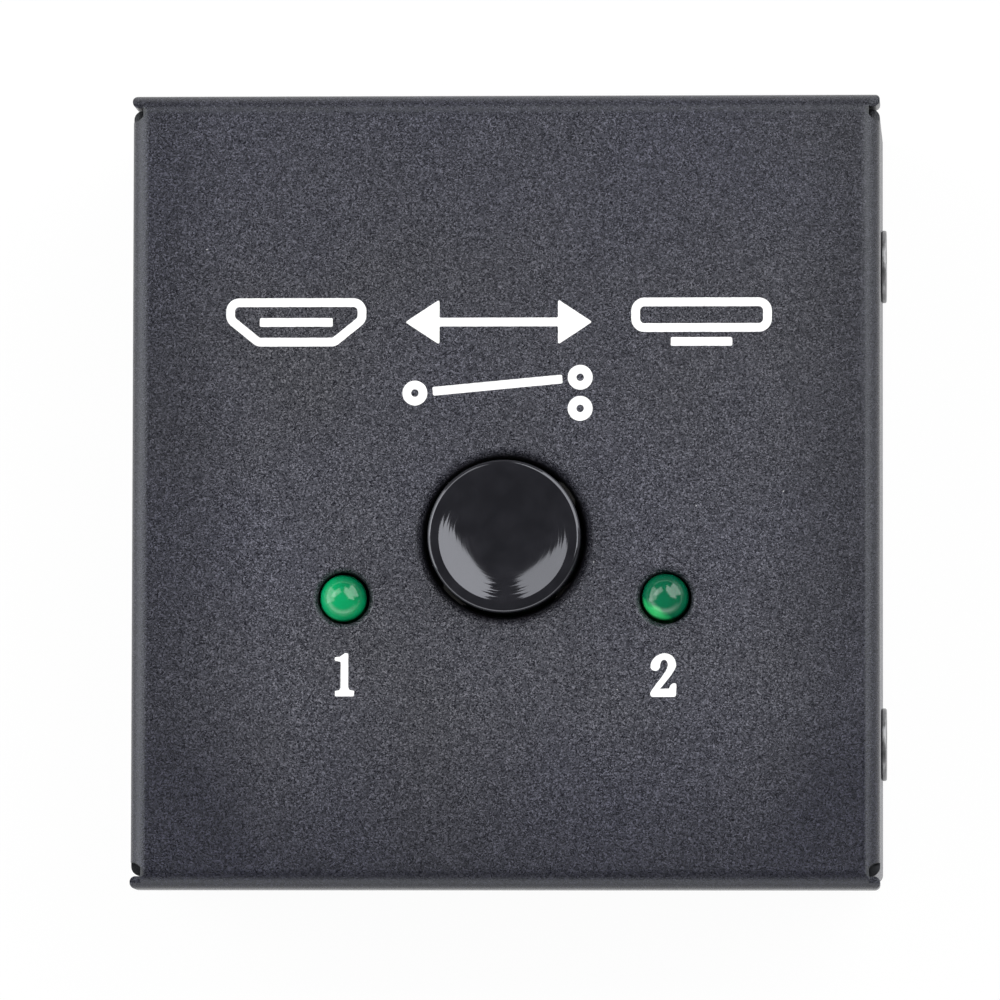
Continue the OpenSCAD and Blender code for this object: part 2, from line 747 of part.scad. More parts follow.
module switch_housing() {
  slot = [terminal_t + 2 * port_fit, terminal_w + 2 * port_fit];
  color("#2a2a2c") translate([0, button_y, 0]) difference() {
    union() {
      translate([-housing_half, -housing_half, board_top])
        cube([switch_w, switch_w, housing_top - board_top]);
      for (side = [-1, 1])
        translate([side * housing_half - frame_t / 2, -catch_w / 2 + port_fit, housing_top - skirt_h / 2 + port_fit])
          cube([frame_t, catch_w - 2 * port_fit, catch_h - 2 * port_fit]);
    }
    translate([-cavity_x, -cavity_y, floor_z])
      cube([2 * cavity_x, 2 * cavity_y, housing_top - floor_z + cut]);
    // Channel for the latch pin and the hole for its lower end
    translate([-channel_x, 0, floor_z]) cube([2 * channel_x, channel_y, housing_top - floor_z + cut]);
    translate([0, channel_y - cut, pin_pivot_z])
      rotate([-90, 0, 0]) cylinder(d = pin_d + 2 * screw_gap, h = pin_wall + 2 * cut);
    for (side = [-1, 1], y = terminal_ys)
      translate([side * terminal_x - slot[0] / 2, y - slot[1] / 2, board_top - cut])
        cube([slot[0], slot[1], switch_floor + 2 * cut]);
  }
}

module switch_frame() {
  color("#b4b7ba") translate([0, button_y, 0]) {
    difference() {
      translate([-housing_half - frame_t, -housing_half, housing_top])
        cube([switch_w + 2 * frame_t, switch_w, frame_t]);
      translate([0, 0, housing_top - cut]) cylinder(d = stem_d + 2 * plunger_gap, h = frame_t + 2 * cut);
    }
    for (side = [0, 1])
      mirror([side, 0, 0]) translate([housing_half, 0, housing_top]) difference() {
        translate([0, -skirt_w / 2, -skirt_h]) cube([frame_t, skirt_w, skirt_h]);
        translate([-cut, -catch_w / 2, -skirt_h / 2]) cube([frame_t + 2 * cut, catch_w, catch_h]);
      }
  }
}

module switch_terminals() {
  // The front terminal of each row is short, so that it meets the clip only when the button is in
  tops = [clip_low - clip_gap, clip_high, clip_high];
  color("#cfcaa8") translate([0, button_y, 0]) for (side = [-1, 1], i = [0:2])
    translate([side * terminal_x - terminal_t / 2, terminal_ys[i] - terminal_w / 2, stub_z])
      cube([terminal_t, terminal_w, tops[i] - stub_z]);
}

// Straight groove on the plunger's latch face, from one point to another
module groove_run(from, to) {
  run = to - from;
  translate([from[0], plunger_y - groove_depth, from[1]])
    rotate([0, -atan2(run[1], run[0]), 0]) {
      translate([0, 0, -groove_w / 2]) cube([norm(run), groove_depth + cut, groove_w]);
      rotate([-90, 0, 0]) cylinder(d = groove_w, h = groove_depth + cut);
      translate([norm(run), 0, 0]) rotate([-90, 0, 0]) cylinder(d = groove_w, h = groove_depth + cut);
    }
}

module switch_plunger() {
  start = [0, groove_z];
  pressed = [groove_side, groove_z + button_travel];
  released = [-groove_side, groove_z + button_travel];
  post_top = button_roof - post_fit;
  color("#e4e2da") translate([0, button_y, plunger_z]) difference() {
    union() {
      translate([-plunger_x, -plunger_y, 0]) cube([2 * plunger_x, 2 * plunger_y, plunger_h]);
      translate([0, 0, plunger_h / 2]) cylinder(d = stem_d, h = button_low - plunger_z - plunger_h / 2);
      translate([-post_w / 2, -post_w / 2, button_low - plunger_z]) cube([post_w, post_w, post_top - button_low]);
    }
    translate([0, 0, -cut]) cylinder(r = pocket_r, h = pocket_depth + cut);
    groove_run(start, pressed);
    groove_run(start, released);
    groove_run(released, pressed);
  }
}

module switch_clips() {
  clip_y = terminal_pitch + terminal_w / 2;
  color("#d8b25a") translate([0, button_y, 0]) for (side = [-1, 1])
    translate([side * (plunger_x + clip_t / 2) - clip_t / 2, -clip_y, clip_low])
      cube([clip_t, 2 * clip_y, clip_high - clip_low]);
}

// Middle of the spring's wire at a share of its length, with flat turns at both ends
function spring_point(share) =
  let (
    low = floor_z + spring_wire / 2 + port_fit,
    high = plunger_z + pocket_depth - spring_wire / 2 - port_fit,
    flat = 0.5 / spring_turns,
    rise = min(1, max(0, (share - flat) / (1 - 2 * flat))),
    turn = 360 * spring_turns * share
  )
  [spring_r * cos(turn), spring_r * sin(turn), low + (high - low) * rise];

module switch_return_spring() {
  rings = 16 * spring_turns;
  sides = 6;
  color("#a9adb1") translate([0, button_y, 0]) polyhedron(
    points = [
      for (i = [0:rings])
        let (
          p = spring_point(i / rings),
          out = [p[0], p[1], 0] / spring_r
        )
        for (s = [0:sides - 1])
          p + spring_wire / 2 * (cos(360 * s / sides) * out + sin(360 * s / sides) * [0, 0, 1])
    ],
    faces = [
      [for (s = [0:sides - 1]) s],
      for (i = [0:rings - 1], s = [0:sides - 1])
        let (a = i * sides + s, b = i * sides + (s + 1) % sides)
        each [[a, a + sides, b], [b, a + sides, b + sides]],
      [for (s = [sides - 1:-1:0]) rings * sides + s]
    ]
  );
}

module latch_pin() {
  lower_end = housing_half - port_fit;
  upper_end = plunger_y - groove_depth + groove_gap;
  color("#c0c3c6") translate([0, button_y + pin_y, pin_pivot_z]) {
    cylinder(d = pin_d, h = pin_len);
    sphere(d = pin_d);
    translate([0, 0, pin_len]) sphere(d = pin_d);
    rotate([-90, 0, 0]) cylinder(d = pin_d, h = lower_end - pin_y);
    translate([0, 0, pin_len]) rotate([90, 0, 0]) cylinder(d = pin_d, h = pin_y - upper_end);
  }
}

module button_cap() {
  height = button_top - button_low;
  outer_r = button_d / 2;
  socket_w = post_w + 2 * post_fit;
  color("#16171b") translate([0, button_y, button_low]) difference() {
    rotate_extrude() {
      square([outer_r - button_edge_r, height]);
      square([outer_r, height - button_edge_r]);
      translate([outer_r - button_edge_r, height - button_edge_r]) circle(button_edge_r);
    }
    translate([0, 0, height - dish_depth + dish_r]) sphere(dish_r, $fn = 96);
    // Hollow underside with a socket for the post in the middle
    translate([0, 0, -cut]) difference() {
      cylinder(r = outer_r - button_wall, h = button_roof - button_low + cut);
      cylinder(r = socket_r, h = button_roof - button_low + 2 * cut);
    }
    translate([-socket_w / 2, -socket_w / 2, -cut]) cube([socket_w, socket_w, button_roof - button_low + cut]);
  }
}

module selector_chip() {
  color("#202123") translate([chip_x - chip_w / 2, chip_y - chip_w / 2, board_top + chip_lead_t])
    cube([chip_w, chip_w, chip_h]);
}

module selector_chip_leads() {
  color("#c8cacc") for (turn = [0:90:270], i = [0:chip_lead_count - 1])
    translate([chip_x, chip_y, board_top]) rotate(turn)
      translate([(i - (chip_lead_count - 1) / 2) * chip_lead_pitch, chip_w / 2, 0])
        along_x(chip_lead_w) {
          translate([0, chip_h / 2]) square([chip_lead_len / 2, chip_lead_t]);
          translate([chip_lead_len / 2 - chip_lead_t, 0]) square([chip_lead_t, chip_h / 2 + chip_lead_t]);
          translate([chip_lead_len / 2 - chip_lead_t, 0]) square([chip_lead_len / 2 + chip_lead_t, chip_lead_t]);
        }
}

// Places a surge arrester on either side of a port's contact tails
module beside_tails() {
  for (side = [-1, 1])
    translate([side * arrester_x - arrester_w / 2, port_len + port_gap, 0])
      cube([arrester_w, arrester_l, arrester_h]);
}

module surge_arresters() {
  color("#2b2b2e") {
    at_port_1() beside_tails();
    at_port_2() beside_tails();
    at_port_common() beside_tails();
  }
}

module chip_capacitors() {
  row_y = chip_y - chip_half - passive_l;
  color("#b08d64") for (side = [-1, 1], i = [-1, 0, 1])
    translate([side * chip_x + i * passive_step - passive_w / 2, row_y - passive_l / 2, board_top])
      cube([passive_w, passive_l, capacitor_h]);
}

module chip_resistors() {
  color("#1c1c1f") for (lamp = [1, 2])
    translate([lamp_x(lamp) - passive_l / 2, led_y + led_flange_d + passive_w / 2, board_top])
      cube([passive_l, passive_w, resistor_h]);
}

top_cover();
base_tray();
side_screws();
board_standoffs();
board_screws();
circuit_board();
at_port_1() port_shell();  // port_1_shell
at_port_1() port_insulator();  // port_1_insulator
at_port_1() port_contacts();  // port_1_contacts
at_port_2() port_shell();  // port_2_shell
at_port_2() port_insulator();  // port_2_insulator
at_port_2() port_contacts();  // port_2_contacts
at_port_common() port_shell();  // port_common_shell
at_port_common() port_insulator();  // port_common_insulator
at_port_common() port_contacts();  // port_common_contacts
lamp_lens(1);  // lamp_1_lens
lamp_leads(1);  // lamp_1_leads
lamp_lens(2);  // lamp_2_lens
lamp_leads(2);  // lamp_2_leads
switch_housing();
switch_frame();
switch_terminals();
switch_plunger();
switch_clips();
switch_return_spring();
latch_pin();
button_cap();
selector_chip();
selector_chip_leads();
surge_arresters();
chip_capacitors();
chip_resistors();
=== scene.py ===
# Looks of a two-way video selector box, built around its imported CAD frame: a powder-coated steel
# cover and tray with white printed marks, a polished dished button, green lamps and video ports.
import json
import math

import bmesh
import bpy
from mathutils import Matrix, Vector
from mathutils.geometry import interpolate_bezier


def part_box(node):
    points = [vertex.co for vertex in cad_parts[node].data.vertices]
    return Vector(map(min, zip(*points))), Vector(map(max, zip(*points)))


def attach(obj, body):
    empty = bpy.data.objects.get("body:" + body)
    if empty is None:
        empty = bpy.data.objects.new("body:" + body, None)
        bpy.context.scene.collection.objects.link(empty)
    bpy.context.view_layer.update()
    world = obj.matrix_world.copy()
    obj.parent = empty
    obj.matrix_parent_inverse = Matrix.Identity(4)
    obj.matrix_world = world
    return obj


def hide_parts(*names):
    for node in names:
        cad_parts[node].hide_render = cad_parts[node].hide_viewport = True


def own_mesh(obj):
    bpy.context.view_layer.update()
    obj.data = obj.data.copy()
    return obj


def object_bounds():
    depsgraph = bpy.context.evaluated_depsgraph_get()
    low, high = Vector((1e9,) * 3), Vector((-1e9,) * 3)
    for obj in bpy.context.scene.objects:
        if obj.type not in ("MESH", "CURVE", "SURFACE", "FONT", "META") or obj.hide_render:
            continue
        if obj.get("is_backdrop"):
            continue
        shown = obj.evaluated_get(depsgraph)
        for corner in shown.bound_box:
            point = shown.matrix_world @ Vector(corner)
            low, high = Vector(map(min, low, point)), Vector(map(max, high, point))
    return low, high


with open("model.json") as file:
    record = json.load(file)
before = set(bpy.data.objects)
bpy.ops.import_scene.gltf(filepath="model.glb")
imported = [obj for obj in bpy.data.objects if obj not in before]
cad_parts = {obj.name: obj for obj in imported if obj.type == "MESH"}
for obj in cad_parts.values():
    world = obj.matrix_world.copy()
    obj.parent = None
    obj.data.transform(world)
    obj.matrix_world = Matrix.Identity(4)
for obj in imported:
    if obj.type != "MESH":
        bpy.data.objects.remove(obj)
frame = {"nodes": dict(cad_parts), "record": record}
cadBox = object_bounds()
mm = 0.001
lampRadius = 1.5 * mm
bodyOf = {node: body for body, nodes in frame["record"]["behaviour"]["bodies"].items() for node in nodes}
slotOf = {part["node"]: part["material_slot"] for part in frame["record"]["subparts"]}
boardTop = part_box("circuit_board")[1].z
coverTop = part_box("top_cover")[1].z
print("frame loaded:", len(frame["nodes"]), "nodes")


# Node trees and meshes

def addNode(tree, kind, inputs=None, **props):  # a node with its values and incoming links
    node = tree.nodes.new(kind)
    for name, value in props.items():
        setattr(node, name, value)
    for socket, value in (inputs or {}).items():
        if isinstance(value, bpy.types.Node):
            value = value.outputs[0]
        if isinstance(value, bpy.types.NodeSocket):
            tree.links.new(value, node.inputs[socket])
        else:
            node.inputs[socket].default_value = value
    return node


def addMath(tree, operation, first, second, **props):
    values = {0: first, 1: second}
    return addNode(tree, "ShaderNodeMath", values, operation=operation, **props).outputs["Value"]


def addVector(tree, operation, first, second=(0, 0, 0)):  # a vector, or a number where that is the result
    node = addNode(tree, "ShaderNodeVectorMath", {0: first, 1: second}, operation=operation)
    number = operation in ("LENGTH", "DISTANCE", "DOT_PRODUCT")
    return node.outputs["Value" if number else "Vector"]


def addScale(tree, vector, factor):
    return addNode(tree, "ShaderNodeVectorMath", {0: vector, 3: factor}, operation="SCALE").outputs["Vector"]


def feed(tree, node, **sources):  # links onto the sockets with these names
    for name, source in sources.items():
        tree.links.new(source, node.inputs[name.replace("_", " ")])


def newObject(name, data):
    thing = bpy.data.objects.new(name, data)
    bpy.context.scene.collection.objects.link(thing)
    return thing


def newPiece(name, work):  # a bmesh becomes an object in the scene
    mesh = bpy.data.meshes.new(name)
    work.to_mesh(mesh)
    work.free()
    return newObject(name, mesh)


def absorb(work, piece):  # an object becomes part of a bmesh
    work.from_mesh(piece.data)
    bpy.data.objects.remove(piece)


def placeObject(thing, place, *axes):  # with its own X, Y and Z along the axes
    thing.matrix_world = Matrix.Translation(place) @ Matrix(axes).transposed().to_4x4()


def settle(piece):  # modifiers become plain mesh
    graph = bpy.context.evaluated_depsgraph_get()
    mesh = bpy.data.meshes.new_from_object(
        piece.evaluated_get(graph), preserve_all_data_layers=True, depsgraph=graph)
    mesh.name = piece.name
    piece.modifiers.clear()
    piece.data = mesh
    return piece


def shadeCrisp(piece, angle):  # smooth, with corners sharper than the angle in degrees kept
    piece.data.shade_smooth()
    piece.data.set_sharp_from_angle(angle=math.radians(angle))


def wearFinish(piece, material):
    piece.data.materials.clear()
    piece.data.materials.append(material)


def standFor(piece, node, material=None):  # rides on the node's body, in its place and its finish
    wearFinish(piece, material or finishes[slotOf[node]])
    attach(piece, bodyOf[node])
    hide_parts(node)


def addBox(work, low, high):
    size = Vector(high) - Vector(low)
    place = Matrix.Translation((Vector(high) + Vector(low)) / 2) @ Matrix.Diagonal((*size, 1))
    return bmesh.ops.create_cube(work, size=1, matrix=place)["verts"]


def loftRings(rings, closed=False, capped=False):  # quads between equal rings, fans at single points
    work = bmesh.new()
    made = [[work.verts.new(point) for point in ring] for ring in rings]
    for near, far in zip(made, made[1:] + (made[:1] if closed else [])):
        count = max(len(near), len(far))
        for i in range(count):
            j = (i + 1) % count
            corners = [near[i % len(near)], near[j % len(near)], far[j % len(far)], far[i % len(far)]]
            work.faces.new(list(dict.fromkeys(corners)))
    bmesh.ops.recalc_face_normals(work, faces=work.faces)
    if capped:
        bmesh.ops.holes_fill(work, edges=work.edges)
        bmesh.ops.recalc_face_normals(work, faces=work.faces)
    return work


def turnProfile(profile, segments):  # revolves radius and height pairs about Z
    turns = [2 * math.pi * i / segments for i in range(segments)]
    rings = []
    for radius, height in profile:
        if radius == 0:
            rings.append([(0, 0, height)])
        else:
            rings.append([(radius * math.cos(a), radius * math.sin(a), height) for a in turns])
    return loftRings(rings)


def arcPoints(centre, radius, start, end, steps):  # degrees, both ends included
    angles = [math.radians(start + (end - start) * i / steps) for i in range(steps + 1)]
    return [(centre[0] + radius * math.cos(a), centre[1] + radius * math.sin(a)) for a in angles]


def roundLoop(corners, radius, steps, grow=0):  # a closed outline with round corners, grown outwards
    loop = []
    count = len(corners)
    for i in range(count):
        corner = Vector(corners[i])
        back = (Vector(corners[i - 1]) - corner).normalized()
        ahead = (Vector(corners[(i + 1) % count]) - corner).normalized()
        half = back.angle(ahead) / 2
        centre = corner + (back + ahead).normalized() * (radius / math.sin(half))
        first = corner + back * (radius / math.tan(half)) - centre
        last = corner + ahead * (radius / math.tan(half)) - centre
        start = math.degrees(math.atan2(first.y, first.x))
        sweep = math.degrees(first.angle_signed(last))
        loop += arcPoints(centre, radius + grow, start, start - sweep, steps)
    return loop


def cutAway(piece, work, operation="DIFFERENCE"):  # boolean with a throwaway bmesh
    cutter = newPiece("cutter", work)
    change = piece.modifiers.new("cut", "BOOLEAN")
    change.operation = operation
    change.solver = "EXACT"
    change.object = cutter
    settle(piece)
    bpy.data.objects.remove(cutter)


# Materials

noiseSpan = (0.3, 0.7)  # where most values of a noise lie
metalGrain = {"detail": 3, "roughness": 0.6}
resinGrain = {"detail": 3, "roughness": 0.55}


def startMaterial(name, **sockets):  # constants go straight onto the shader
    material = bpy.data.materials.new(name)
    material.use_nodes = True
    tree = material.node_tree
    shader = tree.nodes["Principled BSDF"]
    for socket, value in sockets.items():
        shader.inputs[socket.replace("_", " ")].default_value = value
    coords = addNode(tree, "ShaderNodeTexCoord").outputs["Object"]
    return material, tree, shader, coords


def addNoise(tree, coords, scale, detail=2.0, roughness=0.5):
    values = {"Vector": coords, "Scale": scale, "Detail": detail, "Roughness": roughness}
    return addNode(tree, "ShaderNodeTexNoise", values).outputs["Fac"]


def addRamp(tree, factor, stops):  # stops are positions with colours
    ramp = addNode(tree, "ShaderNodeValToRGB", {"Fac": factor})
    elements = ramp.color_ramp.elements
    while len(elements) < len(stops):
        elements.new(1)
    for element, (position, colour) in zip(elements, stops):
        element.position = position
        element.color = (*colour, 1)
    return ramp.outputs["Color"]


def blend(tree, noise, dark, light):
    return addRamp(tree, noise, list(zip(noiseSpan, (dark, light))))


def addRange(tree, value, low, high, start=0.0, end=1.0):  # start to end becomes low to high
    values = {"Value": value, "From Min": start, "From Max": end, "To Min": low, "To Max": high}
    return addNode(tree, "ShaderNodeMapRange", values).outputs["Result"]


def mixTone(tree, share, tone, other):  # a share of another fixed colour
    values = {0: share, 6: tone, 7: (*other, 1)}  # its factor and its two colours
    return addNode(tree, "ShaderNodeMix", values, data_type="RGBA").outputs[2]


def mixLevel(tree, share, level, other):  # a share of another fixed number
    return addNode(tree, "ShaderNodeMix", {0: share, 2: level, 3: other}, data_type="FLOAT").outputs[0]


def addBump(tree, shader, height, depth):
    bump = addNode(tree, "ShaderNodeBump", {"Height": height, "Strength": 1.0, "Distance": depth})
    feed(tree, shader, Normal=bump.outputs["Normal"])
    return bump


powderCoat = {
    "grain": [  # from pits to crests
        (0.0, (0.0, 0.0, 0.003)), (0.75, (0.036, 0.036, 0.047)), (1.0, (0.142, 0.142, 0.168))],
    "grainScale": 15400,
    "grainDepth": 1.1e-5,
    "cloudScale": 60,
    "warm": (0.97, 0.96, 0.90),
    "cool": (1.03, 1.03, 1.10),
    "roughness": (0.18, 0.50),
    "shadedEdges": [  # where the painted edge shade starts, where it is darkest, and by what share
        ("ADD", "X", 16.0 * mm, 21.5 * mm, 0.66),
        ("ADD", "X", -15.0 * mm, -21.5 * mm, 0.75),
        ("ADD", "Y", -13.5 * mm, -25.0 * mm, 0.95),
        ("MAXIMUM", "Y", -2.0 * mm, 22.0 * mm, 0.42),
    ],
    # colour the coat is multiplied by at full share: painted shade, darker towards the edges of the top
    "edgeShadeTone": (0.38, 0.38, 0.46),
    "edgeRoughness": 0.8,
    "speckScale": 260,
    "speckReach": 0.013,
    "speck": (0.34, 0.34, 0.35),
    "flatHalf": (22.75 * mm, 24.25 * mm),
    "bendFoot": 16.75 * mm,
    "bendRadius": 1.25 * mm,
    "bendRise": (-1.6 * mm, 0.2 * mm),  # from the wall to the bend, about its foot
    "shadeFade": {"X": (0.1 * mm, 0.55 * mm), "Y": (-0.2 * mm, 0.25 * mm)},
    "glossFade": {"X": (-0.3 * mm, 0.1 * mm), "Y": (-0.2 * mm, 0.25 * mm)},
    "sheen": (0.9, 0.94, 1.0, 1.0),
    "bendShare": 0.4,
    # near-black mixed into the coat on the bends: painted shade
    "bendShadeTone": (0.002, 0.002, 0.006),
    "bendRoughness": 0.31,
    "gloss": 0.5,
    "notchCentre": (24.0 * mm, 24.7 * mm, 0),
    "notchReach": 0.93 * mm,
    "notchTests": [("Y", "LESS_THAN", 24.67 * mm), ("Z", "GREATER_THAN", 16.3 * mm)],
    "holeFade": (17.5 * mm, 17.85 * mm),
    "holeTests": [("X", "LESS_THAN", 18 * mm), ("Y", "LESS_THAN", 18 * mm),
                  ("Z", "GREATER_THAN", 16.3 * mm)],
    # painted shade in the corner notches and down the holes
    "recessShadeTone": (0.004, 0.004, 0.005),
    "bendGrain": 0.82,
}


def addEdgeShadeShare(tree, place):  # grows towards 1 towards the edges of the cover's top, where shade is painted into the coat and its roughness drops
    look = powderCoat
    edgeShare = 0.0
    for joining, axis, start, end, share in look["shadedEdges"]:
        edge = addRange(tree, place[axis], 0.0, share, start, end)
        edgeShare = addMath(tree, joining, edgeShare, edge, use_clamp=True)
    return addMath(tree, "MULTIPLY", edgeShare, addMath(tree, "GREATER_THAN", place["Z"], look["bendFoot"]))


def addBendShare(tree, spot, fades):  # how far along the bends of the cover: shade is painted into the coat there, and its roughness is smoothed
    look = powderCoat
    shares = []
    for axis, half in zip("XY", look["flatHalf"]):
        start, end = fades[axis]
        shares.append(addRange(tree, spot[axis], 0.0, look["bendShare"], half + start, half + end))
    low, high = (look["bendFoot"] + step for step in look["bendRise"])
    return addMath(tree, "MULTIPLY", addMath(tree, "MAXIMUM", *shares),
                   addRange(tree, spot["Z"], 0.0, 1.0, low, high))


def addTests(tree, share, spot, tests):  # leaves a share only where every coordinate passes its test
    for axis, test, limit in tests:
        share = addMath(tree, "MULTIPLY", share, addMath(tree, test, spot[axis], limit))
    return share


def addRecessShadeShare(tree, folded, spot):  # 1 in the corner notches of the cover and down its holes, where shade is painted into the coat
    look = powderCoat
    plan = addVector(tree, "MULTIPLY", folded, (1, 1, 0))
    near = addMath(tree, "LESS_THAN", addVector(tree, "DISTANCE", plan, look["notchCentre"]),
                   look["notchReach"])
    notch = addTests(tree, near, spot, look["notchTests"])
    hole = addTests(tree, addRange(tree, spot["Z"], 1.0, 0.0, *look["holeFade"]), spot, look["holeTests"])
    return addMath(tree, "MAXIMUM", notch, hole)


def makePowderCoat():
    look = powderCoat
    material, tree, shader, coords = startMaterial(
        "powder_coat", Specular_Tint=look["sheen"], Specular_IOR_Level=look["gloss"])
    grains = addNode(tree, "ShaderNodeTexVoronoi", {"Vector": coords, "Scale": look["grainScale"]}).outputs
    tone = addNode(tree, "ShaderNodeSeparateColor", {"Color": grains["Color"]}).outputs["Red"]
    shade = blend(tree, addNoise(tree, coords, look["cloudScale"]), look["warm"], look["cool"])
    coat = addVector(tree, "MULTIPLY", addRamp(tree, tone, look["grain"]), shade)
    # painted shade: the coat is darkened towards the edges of the top, where the light falls off
    edgeShare = addEdgeShadeShare(tree, addNode(tree, "ShaderNodeSeparateXYZ", {"Vector": coords}).outputs)
    edgeShading = addRamp(tree, edgeShare, [(0.0, (1, 1, 1)), (1.0, look["edgeShadeTone"])])
    coat = addVector(tree, "MULTIPLY", coat, edgeShading)
    folded = addVector(tree, "ABSOLUTE", coords)
    spot = addNode(tree, "ShaderNodeSeparateXYZ", {"Vector": folded}).outputs
    # painted shade: the coat is darkened on the bends
    coat = mixTone(tree, addBendShare(tree, spot, look["shadeFade"]), coat, look["bendShadeTone"])
    cells = addNode(tree, "ShaderNodeTexVoronoi", {"Vector": coords, "Scale": look["speckScale"]})
    speck = addMath(tree, "LESS_THAN", cells.outputs["Distance"], look["speckReach"])
    coat = mixTone(tree, speck, coat, look["speck"])
    # painted shade: near black in the corner notches and down the holes
    cut = addRecessShadeShare(tree, folded, spot)
    rough = addMath(tree, "MULTIPLY", addRange(tree, tone, *look["roughness"]),
                    addRange(tree, edgeShare, 1.0, look["edgeRoughness"]))
    smooth = addMath(tree, "MAXIMUM", addBendShare(tree, spot, look["glossFade"]), cut)
    feed(tree, shader, Base_Color=mixTone(tree, cut, coat, look["recessShadeTone"]),
         Roughness=mixLevel(tree, smooth, rough, look["bendRoughness"]))
    bump = addBump(tree, shader, addMath(tree, "SUBTRACT", tone, grains["Distance"]), look["grainDepth"])
    feed(tree, bump, Strength=addRange(tree, smooth, 1.0, look["bendGrain"]))
    return material


def addGrain(tree, shader, grain, dark, light, roughness, depth):  # tone, roughness and relief of one noise
    feed(tree, shader, Base_Color=blend(tree, grain, dark, light),
         Roughness=addRange(tree, grain, *roughness, *noiseSpan))
    addBump(tree, shader, grain, depth)


def makeMetal(name, dark, light, roughness, scale, depth, metallic=1.0, stretch=(1, 1, 1)):
    material, tree, shader, coords = startMaterial(name, Metallic=metallic)
    drawn = addNode(tree, "ShaderNodeMapping", {"Vector": coords, "Scale": stretch}).outputs["Vector"]
    addGrain(tree, shader, addNoise(tree, drawn, scale, **metalGrain), dark, light, roughness, depth)
    return material


def makeResin(name, dark, light, roughness, scale, depth):  # moulded plastic and ceramic
    material, tree, shader, coords = startMaterial(name)
    addGrain(tree, shader, addNoise(tree, coords, scale, **resinGrain), dark, light, roughness, depth)
    return material


buttonGloss = {
    "smear": [(0.35, (0.006, 0.006, 0.008)), (0.75, (0.011, 0.011, 0.014))],
    "ior": 1.65,
    "sheen": (0.90, 0.92, 1.0, 1.0),
    "roughness": (0.06, 0.10),
    "smearScale": 700,
    "smearDetail": 3,
    "ringScale": 7000,  # polishing marks in a metre of radius
    "ringGrain": {"Detail": 3.0, "Roughness": 0.6},
    "ringSpan": (0.2, 0.8),
    "ringTilt": 0.05,
}


def makeButtonGloss(centre):  # polished in a lathe, so each ring leans a little its own way
    look = buttonGloss
    material, tree, shader, coords = startMaterial(
        "button_gloss", IOR=look["ior"], Specular_Tint=look["sheen"])
    flat = addNode(tree, "ShaderNodeMapping", {
        "Vector": coords, "Location": (-centre.x, -centre.y, 0), "Scale": (1, 1, 0)}).outputs["Vector"]
    values = {"W": addVector(tree, "LENGTH", flat), "Scale": look["ringScale"], **look["ringGrain"]}
    rings = addNode(tree, "ShaderNodeTexNoise", values, noise_dimensions="1D").outputs["Fac"]
    around = addVector(tree, "NORMALIZE", addVector(tree, "CROSS_PRODUCT", (0, 0, 1), flat))
    tilt = addRange(tree, rings, -look["ringTilt"], look["ringTilt"], *look["ringSpan"])
    normal = addNode(tree, "ShaderNodeNewGeometry").outputs["Normal"]
    leaning = addVector(tree, "ADD", normal, addScale(tree, around, tilt))
    smear = addNoise(tree, coords, look["smearScale"], look["smearDetail"])
    feed(tree, shader, Normal=addVector(tree, "NORMALIZE", leaning),
         Base_Color=addRamp(tree, smear, look["smear"]),
         Roughness=addRange(tree, smear, *look["roughness"], *noiseSpan))
    return material


lensTint = {
    "roughness": (0.10, 0.16),
    "ior": 1.5,
    "subsurface": 0.15,
    "reach": 0.0006,
    "radius": (0.15, 1.0, 0.5),
    "swirl": 0.12,
    "swirlScale": 900,
}


def makeLensTint(name, place, turn, stops):  # tinted resin with painted light and shade across it: paler where light gathers in its far side, darker on the other side
    look = lensTint
    material, tree, shader, coords = startMaterial(
        name, IOR=look["ior"], Subsurface_Weight=look["subsurface"], Subsurface_Scale=look["reach"],
        Subsurface_Radius=look["radius"])
    heading = (math.cos(math.radians(turn)) / lampRadius, math.sin(math.radians(turn)) / lampRadius, 0)
    across = addVector(tree, "DOT_PRODUCT", addVector(tree, "SUBTRACT", coords, (*place, 0)), heading)
    swirl = addNoise(tree, coords, look["swirlScale"])
    drift = addRange(tree, swirl, -look["swirl"], look["swirl"], *noiseSpan)
    share = addRange(tree, addMath(tree, "ADD", across, drift), 0.0, 1.0, -1.0, 1.0)
    # painted light and shade: the colour goes from pale at the lower left to dark at the upper right
    feed(tree, shader, Base_Color=addRamp(tree, share, stops),
         Roughness=addRange(tree, swirl, *look["roughness"], *noiseSpan))
    return material


boardMask = {
    "tracks": [(0.04, (0.012, 0.085, 0.03)), (0.09, (0.03, 0.17, 0.06))],
    "trackScale": 620,
    "trackHeight": 2e-5,
    "roughness": 0.28,
}


def makeBoardMask():  # solder mask with tracks under it
    look = boardMask
    material, tree, shader, coords = startMaterial("solder_mask", Roughness=look["roughness"])
    runs = addNode(tree, "ShaderNodeTexVoronoi", {"Vector": coords, "Scale": look["trackScale"]},
                   distance="CHEBYCHEV", feature="DISTANCE_TO_EDGE").outputs["Distance"]
    feed(tree, shader, Base_Color=addRamp(tree, runs, look["tracks"]))
    addBump(tree, shader, runs, look["trackHeight"])
    return material


inkLook = {
    "cover": [(0.25, (0.62, 0.62, 0.63)), (0.45, (0.80, 0.80, 0.80))],  # from thin to full
    "scale": 3800,
    "roughness": (0.5, 0.62),
    "relief": 6e-6,
}


def makeWhiteInk():
    look = inkLook
    material, tree, shader, coords = startMaterial("white_ink")
    cover = addNoise(tree, coords, look["scale"])
    feed(tree, shader, Base_Color=addRamp(tree, cover, look["cover"]),
         Roughness=addRange(tree, cover, *look["roughness"]))
    addBump(tree, shader, cover, look["relief"])
    return material


